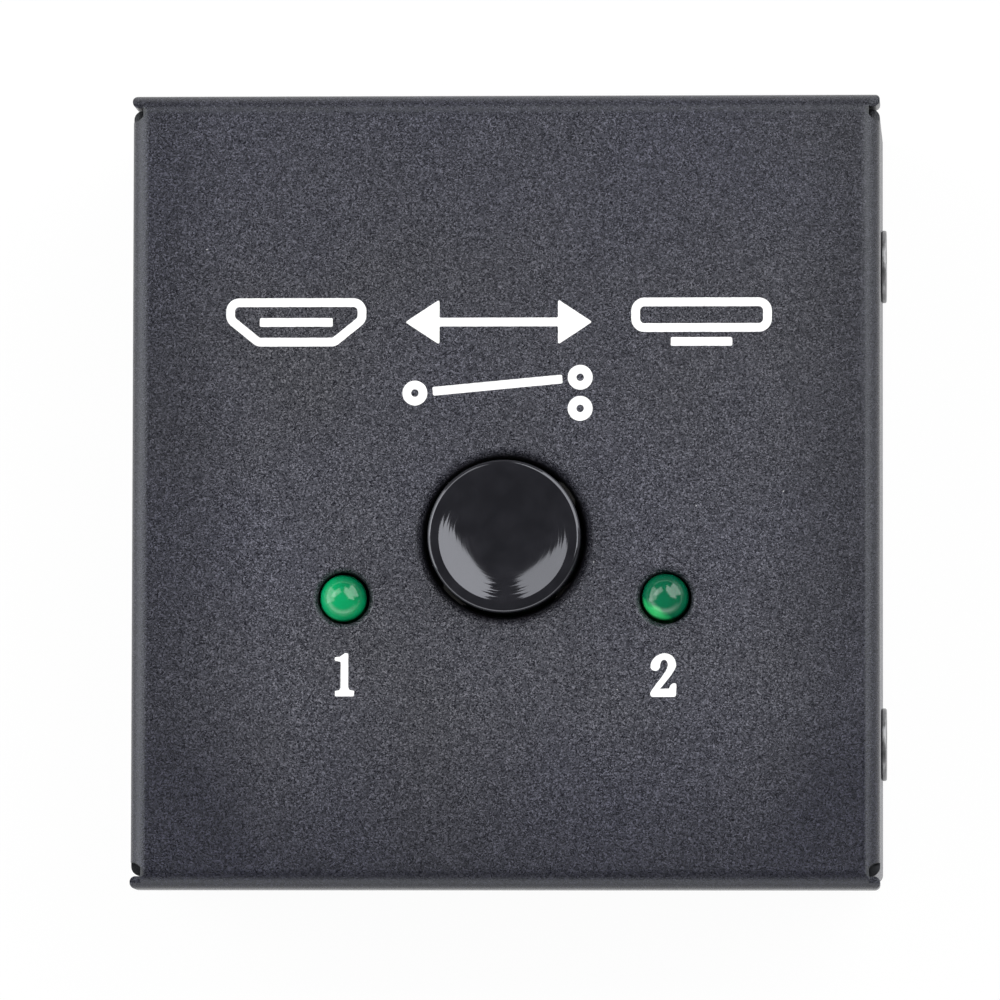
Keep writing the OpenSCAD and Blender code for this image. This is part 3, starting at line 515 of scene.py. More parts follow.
buttonLow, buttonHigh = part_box("button_cap")
buttonMiddle = (buttonLow + buttonHigh) / 2
finishes = {
    "coated_steel": makePowderCoat(),
    "dark_screw": makeMetal("dark_zinc", (0.15, 0.15, 0.155), (0.27, 0.27, 0.275), (0.28, 0.42), 2500, 4e-6,
                            metallic=0.8),
    "nickel": makeMetal("nickel_plate", (0.50, 0.49, 0.47), (0.66, 0.65, 0.62), (0.2, 0.34), 900, 2e-6,
                        stretch=(1, 0.08, 1)),
    "brass": makeMetal("turned_brass", (0.55, 0.38, 0.14), (0.72, 0.53, 0.24), (0.25, 0.4), 1500, 3e-6,
                       stretch=(0.1, 0.1, 1)),
    "contact_gold": makeMetal("contact_gold", (0.72, 0.48, 0.15), (0.86, 0.62, 0.26),
                              (0.2, 0.32), 2200, 2e-6),
    "tinned_wire": makeMetal("tinned_wire", (0.52, 0.52, 0.51), (0.68, 0.68, 0.66), (0.3, 0.45), 2600, 4e-6),
    "spring_steel": makeMetal("spring_steel", (0.36, 0.36, 0.37), (0.52, 0.52, 0.53),
                              (0.22, 0.36), 3000, 2e-6),
    "board": makeBoardMask(),
    "black_plastic": makeResin("black_resin", (0.011, 0.011, 0.012), (0.02, 0.02, 0.022),
                               (0.42, 0.58), 3200, 6e-6),
    "white_plastic": makeResin("white_resin", (0.62, 0.61, 0.57), (0.76, 0.75, 0.71),
                               (0.4, 0.52), 2600, 5e-6),
    "ceramic": makeResin("fired_ceramic", (0.33, 0.22, 0.11), (0.48, 0.34, 0.2), (0.5, 0.65), 4200, 6e-6),
    "black_gloss": makeButtonGloss(buttonMiddle),
}
whiteInk = makeWhiteInk()
print("materials made:", len(finishes) + 1)


# Pieces softened from their CAD solids

softEdges = {  # widths of the rounded edges
    "top_cover": 0.2 * mm,
    "base_tray": 0.16 * mm,
    "board_standoffs": 0.12 * mm,
    "board_screws": 0.15 * mm,
    "circuit_board": 0.06 * mm,
    "port_1_insulator": 0.07 * mm,
    "port_2_insulator": 0.07 * mm,
    "port_common_insulator": 0.07 * mm,
    "switch_housing": 0.1 * mm,
    "switch_frame": 0.08 * mm,
    "switch_plunger": 0.08 * mm,
    "switch_clips": 0.08 * mm,
    "switch_terminals": 0.06 * mm,
    "selector_chip": 0.1 * mm,
    "surge_arresters": 0.06 * mm,
    "chip_capacitors": 0.08 * mm,
    "chip_resistors": 0.05 * mm,
}
softening = {"weld": 0.002 * mm, "flat": 0.5, "corner": 32, "segments": 3}
roundTest = {  # when a vertex counts as one of a bend or a rolled edge
    "below": 0.01 * mm,
    "slack": 0.02 * mm,
    "rollDrop": 0.94,  # depth of the roll's middle, as a share of its radius
    "rollEnd": 0.9,  # share of the radius above its middle, where it runs out
    "facing": 0.96,
}
coverHoles = [  # centre, radius and rolled edge of each hole in the top face
    ((0, -3.0 * mm), 5.1 * mm, 1.0 * mm),
    ((-10.3 * mm, -6.9 * mm), 1.64 * mm, 0.55 * mm),
    ((10.3 * mm, -6.9 * mm), 1.64 * mm, 0.55 * mm),
]


def roundSpots(place):  # the directions that a round of the cover would face at a place
    below, slack = roundTest["below"], roundTest["slack"]
    for axis, half in enumerate(powderCoat["flatHalf"]):
        bend = Vector((0, 0, place.z - powderCoat["bendFoot"]))
        bend[axis] = math.copysign(max(abs(place[axis]) - half, 0), place[axis])
        if bend.z > -below and abs(bend.length - powderCoat["bendRadius"]) < slack:
            yield bend.normalized()
    for centre, radius, roll in coverHoles:
        out = Vector((place.x - centre[0], place.y - centre[1], 0))
        ring = out.normalized() * (radius + roll)
        edge = out - ring + Vector((0, 0, place.z - coverTop + roundTest["rollDrop"] * roll))
        if -below < edge.z < roundTest["rollEnd"] * roll and abs(edge.length - roll) < slack:
            yield edge.normalized()


def roundBends(piece):  # shades the bends and rolled holes of the cover as true rounds
    mesh = piece.data
    normals = [corner.vector.copy() for corner in mesh.corner_normals]
    for face in mesh.polygons:
        for corner in face.loop_indices:
            for facing in roundSpots(mesh.vertices[mesh.loops[corner].vertex_index].co):
                if facing.dot(face.normal) > roundTest["facing"]:
                    normals[corner] = facing
    mesh.normals_split_custom_set(normals)


def softenNode(node, width):
    work = bmesh.new()
    work.from_mesh(frame["nodes"][node].data)
    bmesh.ops.remove_doubles(work, verts=work.verts, dist=softening["weld"])
    bmesh.ops.dissolve_limit(work, angle_limit=math.radians(softening["flat"]), verts=work.verts,
                             edges=work.edges)
    piece = newPiece(node + "_finished", work)
    piece.data.shade_smooth()
    bevel = piece.modifiers.new("soft edges", "BEVEL")
    bevel.limit_method = "ANGLE"
    bevel.angle_limit = math.radians(softening["corner"])
    bevel.width = width
    bevel.segments = softening["segments"]
    piece.modifiers.new("even shading", "WEIGHTED_NORMAL").keep_sharp = True
    settle(piece)
    if node == "top_cover":
        roundBends(piece)
    standFor(piece, node)


for node, width in softEdges.items():
    softenNode(node, width)
print("softened:", len(softEdges), "pieces")


# Button

buttonShape = {
    "rim": 0.28 * mm,  # rounding of the top edge
    "rimSteps": 12,
    "dishRadius": 4.2 * mm,
    "dishDepth": 0.7 * mm,
    "dishEdge": 0.06 * mm,
    "footEdge": 0.1 * mm,
    "wall": 0.9 * mm,
    "crown": 1.0 * mm,
    "boss": 2.92 * mm,
    "socket": 3.06 * mm,
    "segments": 160,
    "crisp": 25,
    "dishSteps": 28,
}


def makeButton():
    shape = buttonShape
    outer = (buttonHigh.x - buttonLow.x) / 2
    low, high = buttonLow.z, buttonHigh.z
    sphere = (shape["dishRadius"] ** 2 + shape["dishDepth"] ** 2) / (2 * shape["dishDepth"])
    bottom = high - shape["dishDepth"]
    roof = bottom - shape["crown"]
    inner = outer - shape["wall"]
    profile = [(0, bottom)]
    for i in range(1, shape["dishSteps"] + 1):
        radius = (shape["dishRadius"] - shape["dishEdge"]) * i / shape["dishSteps"]
        profile.append((radius, bottom + sphere - math.sqrt(sphere ** 2 - radius ** 2)))
    profile.append((shape["dishRadius"] - shape["dishEdge"] / 4, high - shape["dishEdge"] / 6))
    profile.append((shape["dishRadius"] + shape["dishEdge"] / 2, high))
    rim, foot = shape["rim"], shape["footEdge"]
    profile += reversed(arcPoints((outer - rim, high - rim), rim, 0, 90, shape["rimSteps"]))
    profile += [(outer, low + foot), (outer - foot, low), (inner, low), (inner, roof)]
    profile += [(shape["boss"], roof), (shape["boss"], low), (0, low)]
    work = turnProfile(profile, shape["segments"])
    work.transform(Matrix.Translation((buttonMiddle.x, buttonMiddle.y, 0)))
    button = newPiece("button_cap_finished", work)
    socket = bmesh.new()
    half = Vector((shape["socket"] / 2, shape["socket"] / 2))
    middle = buttonMiddle.xy
    addBox(socket, (*(middle - half), low - mm), (*(middle + half), roof))
    cutAway(button, socket)
    shadeCrisp(button, shape["crisp"])
    standFor(button, "button_cap")


makeButton()
print("button turned")


# Lamps

lampShape = {
    "radius": lampRadius,
    "flange": 1.9 * mm,
    "flangeHeight": 1.0 * mm,
    "length": 5.3 * mm,
    "proud": 0.8 * mm,
    "edge": 0.1 * mm,
    "pivot": 0.4 * mm,  # below the top face, in the middle of the sheet
    "segments": 96,
    "domeSteps": 24,
    "crisp": 32,
}
lamps = {  # place, lean and its direction in degrees, then the painted light and shade along a line from the lower left
    "lamp_1_lens": {
        "place": (-10.36 * mm, -6.9 * mm), "lean": 1, "turn": 215, "paintedLightTurn": 45,
        "paintedLight": [(0.0, (0.02, 0.44, 0.16)), (0.08, (0.0, 0.285, 0.10)), (0.55, (0.0, 0.25, 0.086)),
                 (0.95, (0.0, 0.10, 0.04))]},
    "lamp_2_lens": {
        "place": (10.3 * mm, -6.8 * mm), "lean": 4, "turn": 55, "paintedLightTurn": 52,
        "paintedLight": [(0.0, (0.05, 0.55, 0.16)), (0.12, (0.02, 0.42, 0.12)), (0.22, (0.0, 0.122, 0.052)),
                 (0.95, (0.0, 0.064, 0.03))]},
}


def makeLamp(node, place, lean, turn, paintedLightTurn, paintedLight):
    shape = lampShape
    foot = coverTop + shape["proud"] - shape["length"]
    domeFoot = foot + shape["length"] - shape["radius"]
    shoulder = foot + shape["flangeHeight"]
    edge = shape["edge"]
    profile = [(0, foot), (shape["flange"] - edge, foot), (shape["flange"], foot + edge)]
    profile += [(shape["flange"], shoulder - edge), (shape["flange"] - edge, shoulder)]
    profile += [(shape["radius"] + edge, shoulder), (shape["radius"], shoulder + edge)]
    profile += arcPoints((0, domeFoot), shape["radius"], 0, 90, shape["domeSteps"])[:-1]
    profile.append((0, domeFoot + shape["radius"]))
    work = turnProfile(profile, shape["segments"])
    pivot = Vector((0, 0, coverTop - shape["pivot"]))
    heading = Matrix.Rotation(math.radians(turn), 4, "Z")
    leaning = heading @ Matrix.Rotation(math.radians(lean), 4, "Y") @ heading.inverted()
    hole = Vector((*place, 0))
    work.transform(Matrix.Translation(hole + pivot) @ leaning @ Matrix.Translation(-pivot))
    lamp = newPiece(node + "_finished", work)
    shadeCrisp(lamp, shape["crisp"])
    standFor(lamp, node, makeLensTint("green_" + node, place, paintedLightTurn, paintedLight))


for node, look in lamps.items():
    makeLamp(node, **look)
print("lamps turned:", len(lamps))


# Copies along a row or on points

def startTree(name, inputs):  # named inputs, with the geometry first
    tree = bpy.data.node_groups.new(name, "GeometryNodeTree")
    tree.interface.new_socket(name="Geometry", in_out="INPUT", socket_type="NodeSocketGeometry")
    tree.interface.new_socket(name="Geometry", in_out="OUTPUT", socket_type="NodeSocketGeometry")
    for label, kind in inputs.items():
        tree.interface.new_socket(name=label, in_out="INPUT", socket_type="NodeSocket" + kind)
    return tree, addNode(tree, "NodeGroupInput").outputs


def endTree(tree, geometry, material):
    real = addNode(tree, "GeometryNodeRealizeInstances", {"Geometry": geometry})
    coloured = addNode(tree, "GeometryNodeSetMaterial", {"Geometry": real, "Material": material})
    addNode(tree, "NodeGroupOutput", {"Geometry": coloured})


def growPiece(piece, tree, values):  # runs the tree on a piece and keeps the plain mesh
    modifier = piece.modifiers.new(tree.name, "NODES")
    modifier.node_group = tree
    for item in tree.interface.items_tree:
        if item.in_out == "INPUT" and item.name in values:
            modifier[item.identifier] = values[item.name]
    return settle(piece)


def makeCopyTree():  # one object on every point, turned by the point's own angle about Z
    tree, given = startTree("copies_on_points", {"Copy": "Object", "Material": "Material"})
    source = addNode(tree, "GeometryNodeObjectInfo", {"Object": given["Copy"]})
    heading = addNode(tree, "GeometryNodeInputNamedAttribute", {"Name": "heading"}, data_type="FLOAT")
    spin = addNode(tree, "ShaderNodeCombineXYZ", {"Z": heading.outputs["Attribute"]})
    placed = addNode(tree, "GeometryNodeInstanceOnPoints", {
        "Points": given["Geometry"], "Instance": source.outputs["Geometry"], "Rotation": spin})
    endTree(tree, placed, given["Material"])
    return tree


def makeRowTree():  # a straight row of one object along X
    tree, given = startTree("row_of_copies", {"Copy": "Object", "Count": "Int", "Pitch": "Float",
                                              "Material": "Material"})
    source = addNode(tree, "GeometryNodeObjectInfo", {"Object": given["Copy"]})
    span = addMath(tree, "MULTIPLY", addMath(tree, "SUBTRACT", given["Count"], 1.0), given["Pitch"])
    start = addNode(tree, "ShaderNodeCombineXYZ", {"X": addMath(tree, "MULTIPLY", span, -0.5)})
    step = addNode(tree, "ShaderNodeCombineXYZ", {"X": given["Pitch"]})
    line = addNode(tree, "GeometryNodeMeshLine", {
        "Count": given["Count"], "Start Location": start, "Offset": step})
    placed = addNode(tree, "GeometryNodeInstanceOnPoints", {
        "Points": line, "Instance": source.outputs["Geometry"]})
    endTree(tree, placed, given["Material"])
    return tree


copyTree = makeCopyTree()
rowTree = makeRowTree()


# Side screws

screwShape = {
    "thread": 1.25 * mm,
    "threadDepth": 0.13 * mm,
    "threadPitch": 0.45 * mm,
    "threadStart": 0.25 * mm,
    "threadSpare": 0.4 * mm,  # left plain at both ends together
    "crest": (0.4, 0.55),  # share of the pitch where it starts and ends
    "tipEdge": 0.2 * mm,
    "head": 2.35 * mm,
    "rim": 0.25 * mm,
    "rimRound": 0.12 * mm,
    "rimSteps": 6,
    "crossLength": 1.25 * mm,
    "crossWidth": 0.3 * mm,
    "crossDepth": 0.8 * mm,
    "crossTaper": 0.55,
    "segments": 64,
    "crisp": 30,
}


def makeScrew(length):  # axis on X, face of the head at x = 0
    shape = screwShape
    core = shape["thread"] - shape["threadDepth"]
    cone = shape["head"] - shape["thread"]
    curve = shape["rimRound"]
    neck = -shape["rim"] - cone
    tip = shape["tipEdge"]
    profile = [(0, -length), (core - tip, -length), (core, -length + tip)]
    turns = int((length + neck - shape["threadSpare"]) / shape["threadPitch"])
    for i in range(turns):
        root = -length + shape["threadStart"] + i * shape["threadPitch"]
        profile.append((core, root))
        profile += [(shape["thread"], root + share * shape["threadPitch"]) for share in shape["crest"]]
    profile += [(shape["thread"], neck), (shape["head"], -shape["rim"])]
    profile += arcPoints((shape["head"] - curve, -curve), curve, 0, 90, shape["rimSteps"])
    profile.append((0, 0))
    screw = newPiece("screw_copy", turnProfile(profile, shape["segments"]))
    for turn in (0, 90):
        cross = bmesh.new()
        bar = addBox(cross, (-shape["crossLength"], -shape["crossWidth"], -shape["crossDepth"]),
                     (shape["crossLength"], shape["crossWidth"], shape["crossDepth"]))
        for vert in bar:
            if vert.co.z < 0:
                vert.co.x *= shape["crossTaper"]
        bmesh.ops.rotate(cross, verts=bar, matrix=Matrix.Rotation(math.radians(turn), 3, "Z"))
        cutAway(screw, cross)
    shadeCrisp(screw, shape["crisp"])
    screw.data.transform(Matrix.Rotation(math.radians(90), 4, "Y"))
    return screw


def makeSideScrews():
    low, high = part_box("side_screws")
    height = (low.z + high.z) / 2
    ends = (low.y + screwShape["head"], high.y - screwShape["head"])
    tip = min(abs(vert.co.x) for vert in frame["nodes"]["side_screws"].data.vertices)
    source = makeScrew(high.x - tip)
    work = bmesh.new()
    heading = work.verts.layers.float.new("heading")
    for side, turn in ((high.x, 0), (low.x, math.pi)):
        for y in ends:
            work.verts.new((side, y, height))[heading] = turn
    screws = newPiece("side_screws_finished", work)
    growPiece(screws, copyTree, {"Copy": source, "Material": finishes["dark_screw"]})
    bpy.data.objects.remove(source)
    standFor(screws, "side_screws")


makeSideScrews()
print("side screws placed")


# Video ports

portShape = {
    "width": 14.0 * mm,
    "height": 4.55 * mm,
    "floorWidth": 10.6 * mm,
    "slope": 1.7 * mm,
    "wall": 0.35 * mm,
    "length": 11.5 * mm,
    "lift": 0.7 * mm,  # opening above the board
    "corner": 0.25 * mm,
    "cornerSteps": 6,
    "lip": 0.1 * mm,
    "lipSteps": 4,
    "fingerWidth": 1.6 * mm,
    "fingerLength": 5.0 * mm,
    "fingerStart": 1.6 * mm,
    "fingerGap": 0.35 * mm,
    "fingerBow": 0.28 * mm,
    "fingerCurl": 1.12,  # the bow ends before the tip
    "fingerSteps": 12,
    "legWidth": 1.4 * mm,
    "legInset": 2.2 * mm,
    "legDrop": 2.5 * mm,
    "legShim": 1e-6,  # keeps the faces of the legs and walls apart
    "crisp": 30,
}
contactShape = {
    "width": 0.34 * mm,
    "thick": 0.16 * mm,
    "pitch": 1.0 * mm,
    "count": 10,
    "tip": 1.76 * mm,  # behind the mouth
    "tongue": 3.075 * mm,  # middle of the tongue above the board
    "tongueThick": 1.7 * mm,
    "tailStep": 0.55 * mm,
    "foot": 0.7 * mm,
    "edge": 0.035 * mm,
    "edgeSteps": 2,
}
portNames = ("port_1", "port_2", "port_common")


def portPlace(name):  # mouth at y = 0, board at z = 0, depth along +Y
    low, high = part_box(name + "_shell")
    middle = (low.x + high.x) / 2
    if low.y < 0:
        return Matrix.Translation((middle, low.y, boardTop))
    return Matrix.Translation((middle, high.y, boardTop)) @ Matrix.Rotation(math.pi, 4, "Z")


def addFinger(work, x, wallZ, inward):  # a bowed strip from the back edge of its window
    shape = portShape
    half = shape["fingerWidth"] / 2
    start = shape["fingerStart"] + shape["fingerLength"]
    length = shape["fingerLength"] - shape["fingerGap"]
    rings = []
    for i in range(shape["fingerSteps"] + 1):
        share = i / shape["fingerSteps"]
        bow = inward * shape["fingerBow"] * math.sin(math.pi * min(1, share * shape["fingerCurl"])) ** 2
        y = start - share * length
        low, high = wallZ + bow, wallZ + bow + shape["wall"]
        rings.append([(x - half, y, low), (x + half, y, low), (x + half, y, high), (x - half, y, high)])
    absorb(work, newPiece("strip", loftRings(rings, capped=True)))


def makeShell(name):
    shape = portShape
    base, top = shape["lift"], shape["lift"] + shape["height"]
    half, floor = shape["width"] / 2, shape["floorWidth"] / 2
    slope = base + shape["slope"]
    corners = [(-floor, base), (floor, base), (half, slope), (half, top), (-half, top), (-half, slope)]
    lip, wall, steps = shape["lip"], shape["wall"], shape["lipSteps"]
    section = [(0, shape["length"])] + arcPoints((lip, lip), lip, 180, 270, steps)
    section += arcPoints((wall - lip, lip), lip, 270, 360, steps) + [(wall, shape["length"])]
    rings = []
    for grow, y in section:
        loop = roundLoop(corners, shape["corner"], shape["cornerSteps"], grow)
        rings.append([(x, y, z) for x, z in loop])
    shell = newPiece(name + "_shell_finished", loftRings(rings, closed=True))
    windows = bmesh.new()
    fingers = bmesh.new()
    reach = shape["fingerWidth"] / 2 + shape["fingerGap"]
    for side in (-1, 1):
        x = side * shape["floorWidth"] / 4
        for wallZ, inward in ((base - wall, 1), (top, -1)):
            addBox(windows, (x - reach, shape["fingerStart"], wallZ - wall / 2),
                   (x + reach, shape["fingerStart"] + shape["fingerLength"], wallZ + 1.5 * wall))
            addFinger(fingers, x, wallZ, inward)
    cutAway(shell, windows)
    legs = bmesh.new()
    legThick = wall / 2 - shape["legShim"]
    for side in (-1, 1):
        x = side * (half + wall / 2)
        for y in (shape["legInset"], shape["length"] - shape["legInset"]):
            addBox(legs, (x - legThick, y - shape["legWidth"] / 2, -shape["legDrop"]),
                   (x + legThick, y + shape["legWidth"] / 2, slope + wall))
    cutAway(shell, legs, "UNION")
    fingers.from_mesh(shell.data)
    fingers.to_mesh(shell.data)
    fingers.free()
    shadeCrisp(shell, shape["crisp"])
    shell.data.transform(portPlace(name))
    standFor(shell, name + "_shell")


def makeContact(name, faceZ, dropY):  # strip on the tongue, drop behind the block, foot on the board
    shape = contactShape
    thick, half = shape["thick"], shape["width"] / 2
    tip, foot = shape["tip"], shape["foot"]
    outline = [(tip, faceZ), (dropY, faceZ), (dropY, 0), (dropY + thick + foot, 0),
               (dropY + thick + foot, thick), (dropY + thick, thick), (dropY + thick, faceZ + thick),
               (tip, faceZ + thick)]
    sides = [[(x, y, z) for y, z in outline] for x in (-half, half)]
    contact = newPiece(name, loftRings(sides, capped=True))
    bevel = contact.modifiers.new("soft edges", "BEVEL")
    bevel.width = shape["edge"]
    bevel.segments = shape["edgeSteps"]
    settle(contact)
    contact.data.shade_smooth()
    return contact


def makeContacts(name):
    shape = contactShape
    upper = shape["tongue"] + shape["tongueThick"] / 2
    lower = shape["tongue"] - shape["tongueThick"] / 2 - shape["thick"]
    work = bmesh.new()
    for faceZ, tails, count in ((upper, 2, shape["count"]), (lower, 1, shape["count"] - 1)):
        source = makeContact("contact_copy", faceZ, portShape["length"] + tails * shape["tailStep"])
        row = newPiece("contact_row", bmesh.new())
        growPiece(row, rowTree, {"Copy": source, "Count": count, "Pitch": shape["pitch"],
                                 "Material": finishes["contact_gold"]})
        bpy.data.objects.remove(source)
        absorb(work, row)
    contacts = newPiece(name + "_contacts_finished", work)
    contacts.data.shade_smooth()
    contacts.data.transform(portPlace(name))
    standFor(contacts, name + "_contacts")


for name in portNames:
    makeShell(name)
    makeContacts(name)
print("ports made:", len(portNames))


# Return spring

springShape = {
    "turns": 5,
    "wire": 0.28 * mm,
    "flatShare": 0.1,  # of the coil, flat at each end
    "stepsPerTurn": 40,
    "wireSides": 12,
    "crisp": 40,
}


def makeSpringTree():  # a coil about Z with flat ends
    tree, given = startTree("coil_spring", {
        "Turns": "Float", "Radius": "Float", "Wire": "Float", "Low": "Float", "High": "Float",
        "Flat": "Float", "Steps": "Int", "Sides": "Int", "Material": "Material"})
    coil = addNode(tree, "GeometryNodeCurveSpiral", {
        "Resolution": given["Steps"], "Rotations": given["Turns"], "Start Radius": given["Radius"],
        "End Radius": given["Radius"], "Height": 0.0})
    share = addNode(tree, "GeometryNodeSplineParameter").outputs["Factor"]
    last = addMath(tree, "SUBTRACT", 1.0, given["Flat"])
    rise = addRange(tree, share, given["Low"], given["High"], given["Flat"], last)
    lift = addNode(tree, "ShaderNodeCombineXYZ", {"Z": rise})
    raised = addNode(tree, "GeometryNodeSetPosition", {"Geometry": coil, "Offset": lift})
    section = addNode(tree, "GeometryNodeCurvePrimitiveCircle", {
        "Resolution": given["Sides"], "Radius": given["Wire"]})
    wire = addNode(tree, "GeometryNodeCurveToMesh", {
        "Curve": raised, "Profile Curve": section, "Fill Caps": True})
    endTree(tree, wire, given["Material"])
    return tree


def makeSpring():
    shape = springShape
    node = "switch_return_spring"
    low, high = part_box(node)
    radius = shape["wire"] / 2
    spring = newPiece(node + "_finished", bmesh.new())
    growPiece(spring, makeSpringTree(), {
        "Turns": float(shape["turns"]), "Radius": (high.y - low.y) / 2 - radius, "Wire": radius,
        "Low": low.z + radius, "High": high.z - radius, "Flat": shape["flatShare"],
        "Steps": shape["stepsPerTurn"], "Sides": shape["wireSides"], "Material": finishes["spring_steel"]})
    spring.data.transform(Matrix.Translation((buttonMiddle.x, buttonMiddle.y, 0)))
    shadeCrisp(spring, shape["crisp"])
    standFor(spring, node)
    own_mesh(spring)


makeSpring()
print("return spring wound")


# Printed marks

markShape = {
    "thick": 0.018 * mm,
    "sink": 0.002 * mm,
    "sample": 0.045 * mm,
    "ragged": 0.03 * mm,  # unevenness of the printed edge
    "raggedScale": 5200,
    "corner": 0.08 * mm,
    "cornerSteps": 4,
    "figureCorner": 0.07,  # in millimetres, as the figures are
    "dotSteps": 36,
    "weld": 1e-6,
}
figurePlaces = {"figure_1": (-10.23 * mm, -11.82 * mm), "figure_2": (10.17 * mm, -11.85 * mm)}
figureOne = [  # corners in millimetres about the figure's middle
    (0.235, 1.39), (0.235, -0.80), (0.33, -0.98), (0.635, -1.03), (0.585, -1.385), (-0.60, -1.385),
    (-0.635, -1.04), (-0.33, -0.98), (-0.255, -0.82), (-0.255, 0.83), (-0.64, 0.91), (-0.64, 1.12),
    (-0.30, 1.16), (0.02, 1.39),
]
figureTwo = [  # arriving handle, knot and leaving handle of each stretch
    ((-0.80, 0.36), (-0.82, 0.50), (-0.84, 0.98)),
    ((-0.40, 1.395), (0.10, 1.395), (0.52, 1.395)),
    ((0.82, 1.08), (0.82, 0.62), (0.82, 0.36)),
    ((0.36, -0.22), (-0.21, -0.877), (-0.05, -0.877)),
    ((0.20, -0.862), (0.36, -0.862), (0.44, -0.70)),
    ((0.50, -0.56), (0.66, -0.51), (0.78, -0.50)),
    ((0.84, -0.54), (0.84, -0.62), (0.84, -0.80)),
    ((0.82, -1.10), (0.82, -1.22), (0.82, -1.34)),
    ((0.76, -1.395), (0.66, -1.395), (0.30, -1.395)),
    ((-0.30, -1.395), (-0.66, -1.395), (-0.79, -1.395)),
    ((-0.84, -1.28), (-0.83, -1.14), (-0.80, -0.90)),
    ((0.295, 0.22), (0.295, 0.63), (0.295, 0.84)),
    ((0.20, 0.98), (0.03, 0.98), (-0.10, 0.98)),
    ((-0.19, 0.80), (-0.205, 0.60), (-0.205, 0.42)),
    ((-0.34, 0.27), (-0.49, 0.27), (-0.62, 0.27)),
]
signRow = {  # a port, an arrow both ways and a screen
    "middle": (-0.4 * mm, 10.81 * mm),
    "stroke": 0.56 * mm,
    "reach": 13.0 * mm,  # of the port and the screen from the middle
    "port": (9.0 * mm, 3.1 * mm),
    "portSlope": (1.6 * mm, 1.3 * mm),
    "screen": (9.0 * mm, 3.1 * mm),
    "screenLift": 2.6,  # strokes from the underside of the foot to the inside of the frame
    "arrow": 6.0 * mm,
    "arrowHead": (2.2 * mm, 1.45 * mm),
}
switchRow = {  # the sign of a change-over switch
    "middle": (-0.47 * mm, 6.25 * mm),
    "stroke": 0.56 * mm,
    "reach": 5.3 * mm,
    "dot": 0.8 * mm,
    "spread": 1.0 * mm,
    "gap": 0.35 * mm,
}


def curveLoop(stretches, steps=8):
    loop = []
    for here, there in zip(stretches, stretches[1:] + stretches[:1]):
        bend = [Vector(point) for point in (here[1], here[2], there[0], there[1])]
        loop += [tuple(point) for point in interpolate_bezier(*bend, steps + 1)[:-1]]
    return loop


def softLoop(corners):
    return roundLoop(corners, markShape["corner"], markShape["cornerSteps"])


def ringLoops(corners, stroke):  # an outline as wide as the stroke
    return [roundLoop(corners, stroke / 2, markShape["cornerSteps"] * 2, grow) for grow in (0, stroke)]


def barLoop(start, end, stroke):
    start, end = Vector(start), Vector(end)
    across = (end - start).orthogonal().normalized() * (stroke / 2)
    return softLoop([start + across, start - across, end - across, end + across])


def dotLoops(centre, radius, stroke):
    steps = markShape["dotSteps"]
    return [arcPoints(centre, r, 0, 360 - 360 / steps, steps - 1) for r in (radius, radius - stroke)]


def moved(loops, place, scale=1.0):
    return [[(place[0] + x * scale, place[1] + y * scale) for x, y in loop] for loop in loops]


def portSign(row):
    half, height = row["port"][0] / 2 - row["stroke"], row["port"][1] / 2 - row["stroke"]
    slopeX, slopeY = row["portSlope"]
    corners = [(-half + slopeX, -height), (half - slopeX, -height), (half, -height + slopeY),
               (half, height), (-half, height), (-half, -height + slopeY)]
    tongue = barLoop((-half + slopeX, 0), (half - slopeX, 0), row["stroke"])
    return ringLoops(corners, row["stroke"]) + [tongue]


def screenSign(row):
    stroke = row["stroke"]
    half, height = row["screen"][0] / 2 - stroke, row["screen"][1] / 2
    foot = barLoop((-half / 2, -height + stroke / 2), (half / 2, -height + stroke / 2), stroke)
    low = -height + row["screenLift"] * stroke
    corners = [(-half, low), (half, low), (half, height - stroke), (-half, height - stroke)]
    return ringLoops(corners, stroke) + [foot]


def arrowSign(row):
    half, shaft = row["arrow"], row["stroke"] / 2
    length, rise = row["arrowHead"]
    neck = half - length
    right = [(neck, -shaft), (neck, -rise), (half, 0), (neck, rise), (neck, shaft)]
    left = [(-x, -y) for x, y in right]
    return [softLoop(right + left)]


def switchSign(row):
    reach, dot, gap = row["reach"], row["dot"], row["gap"]
    common, first, second = (-reach, 0), (reach, row["spread"]), (reach, -row["spread"])
    lever = (Vector(first) - Vector(common)).normalized()
    bar = barLoop(Vector(common) + lever * (dot + gap), Vector(first) - lever * (dot + gap), row["stroke"])
    loops = [bar]
    for place in (common, first, second):
        loops += dotLoops(place, dot, row["stroke"])
    return loops


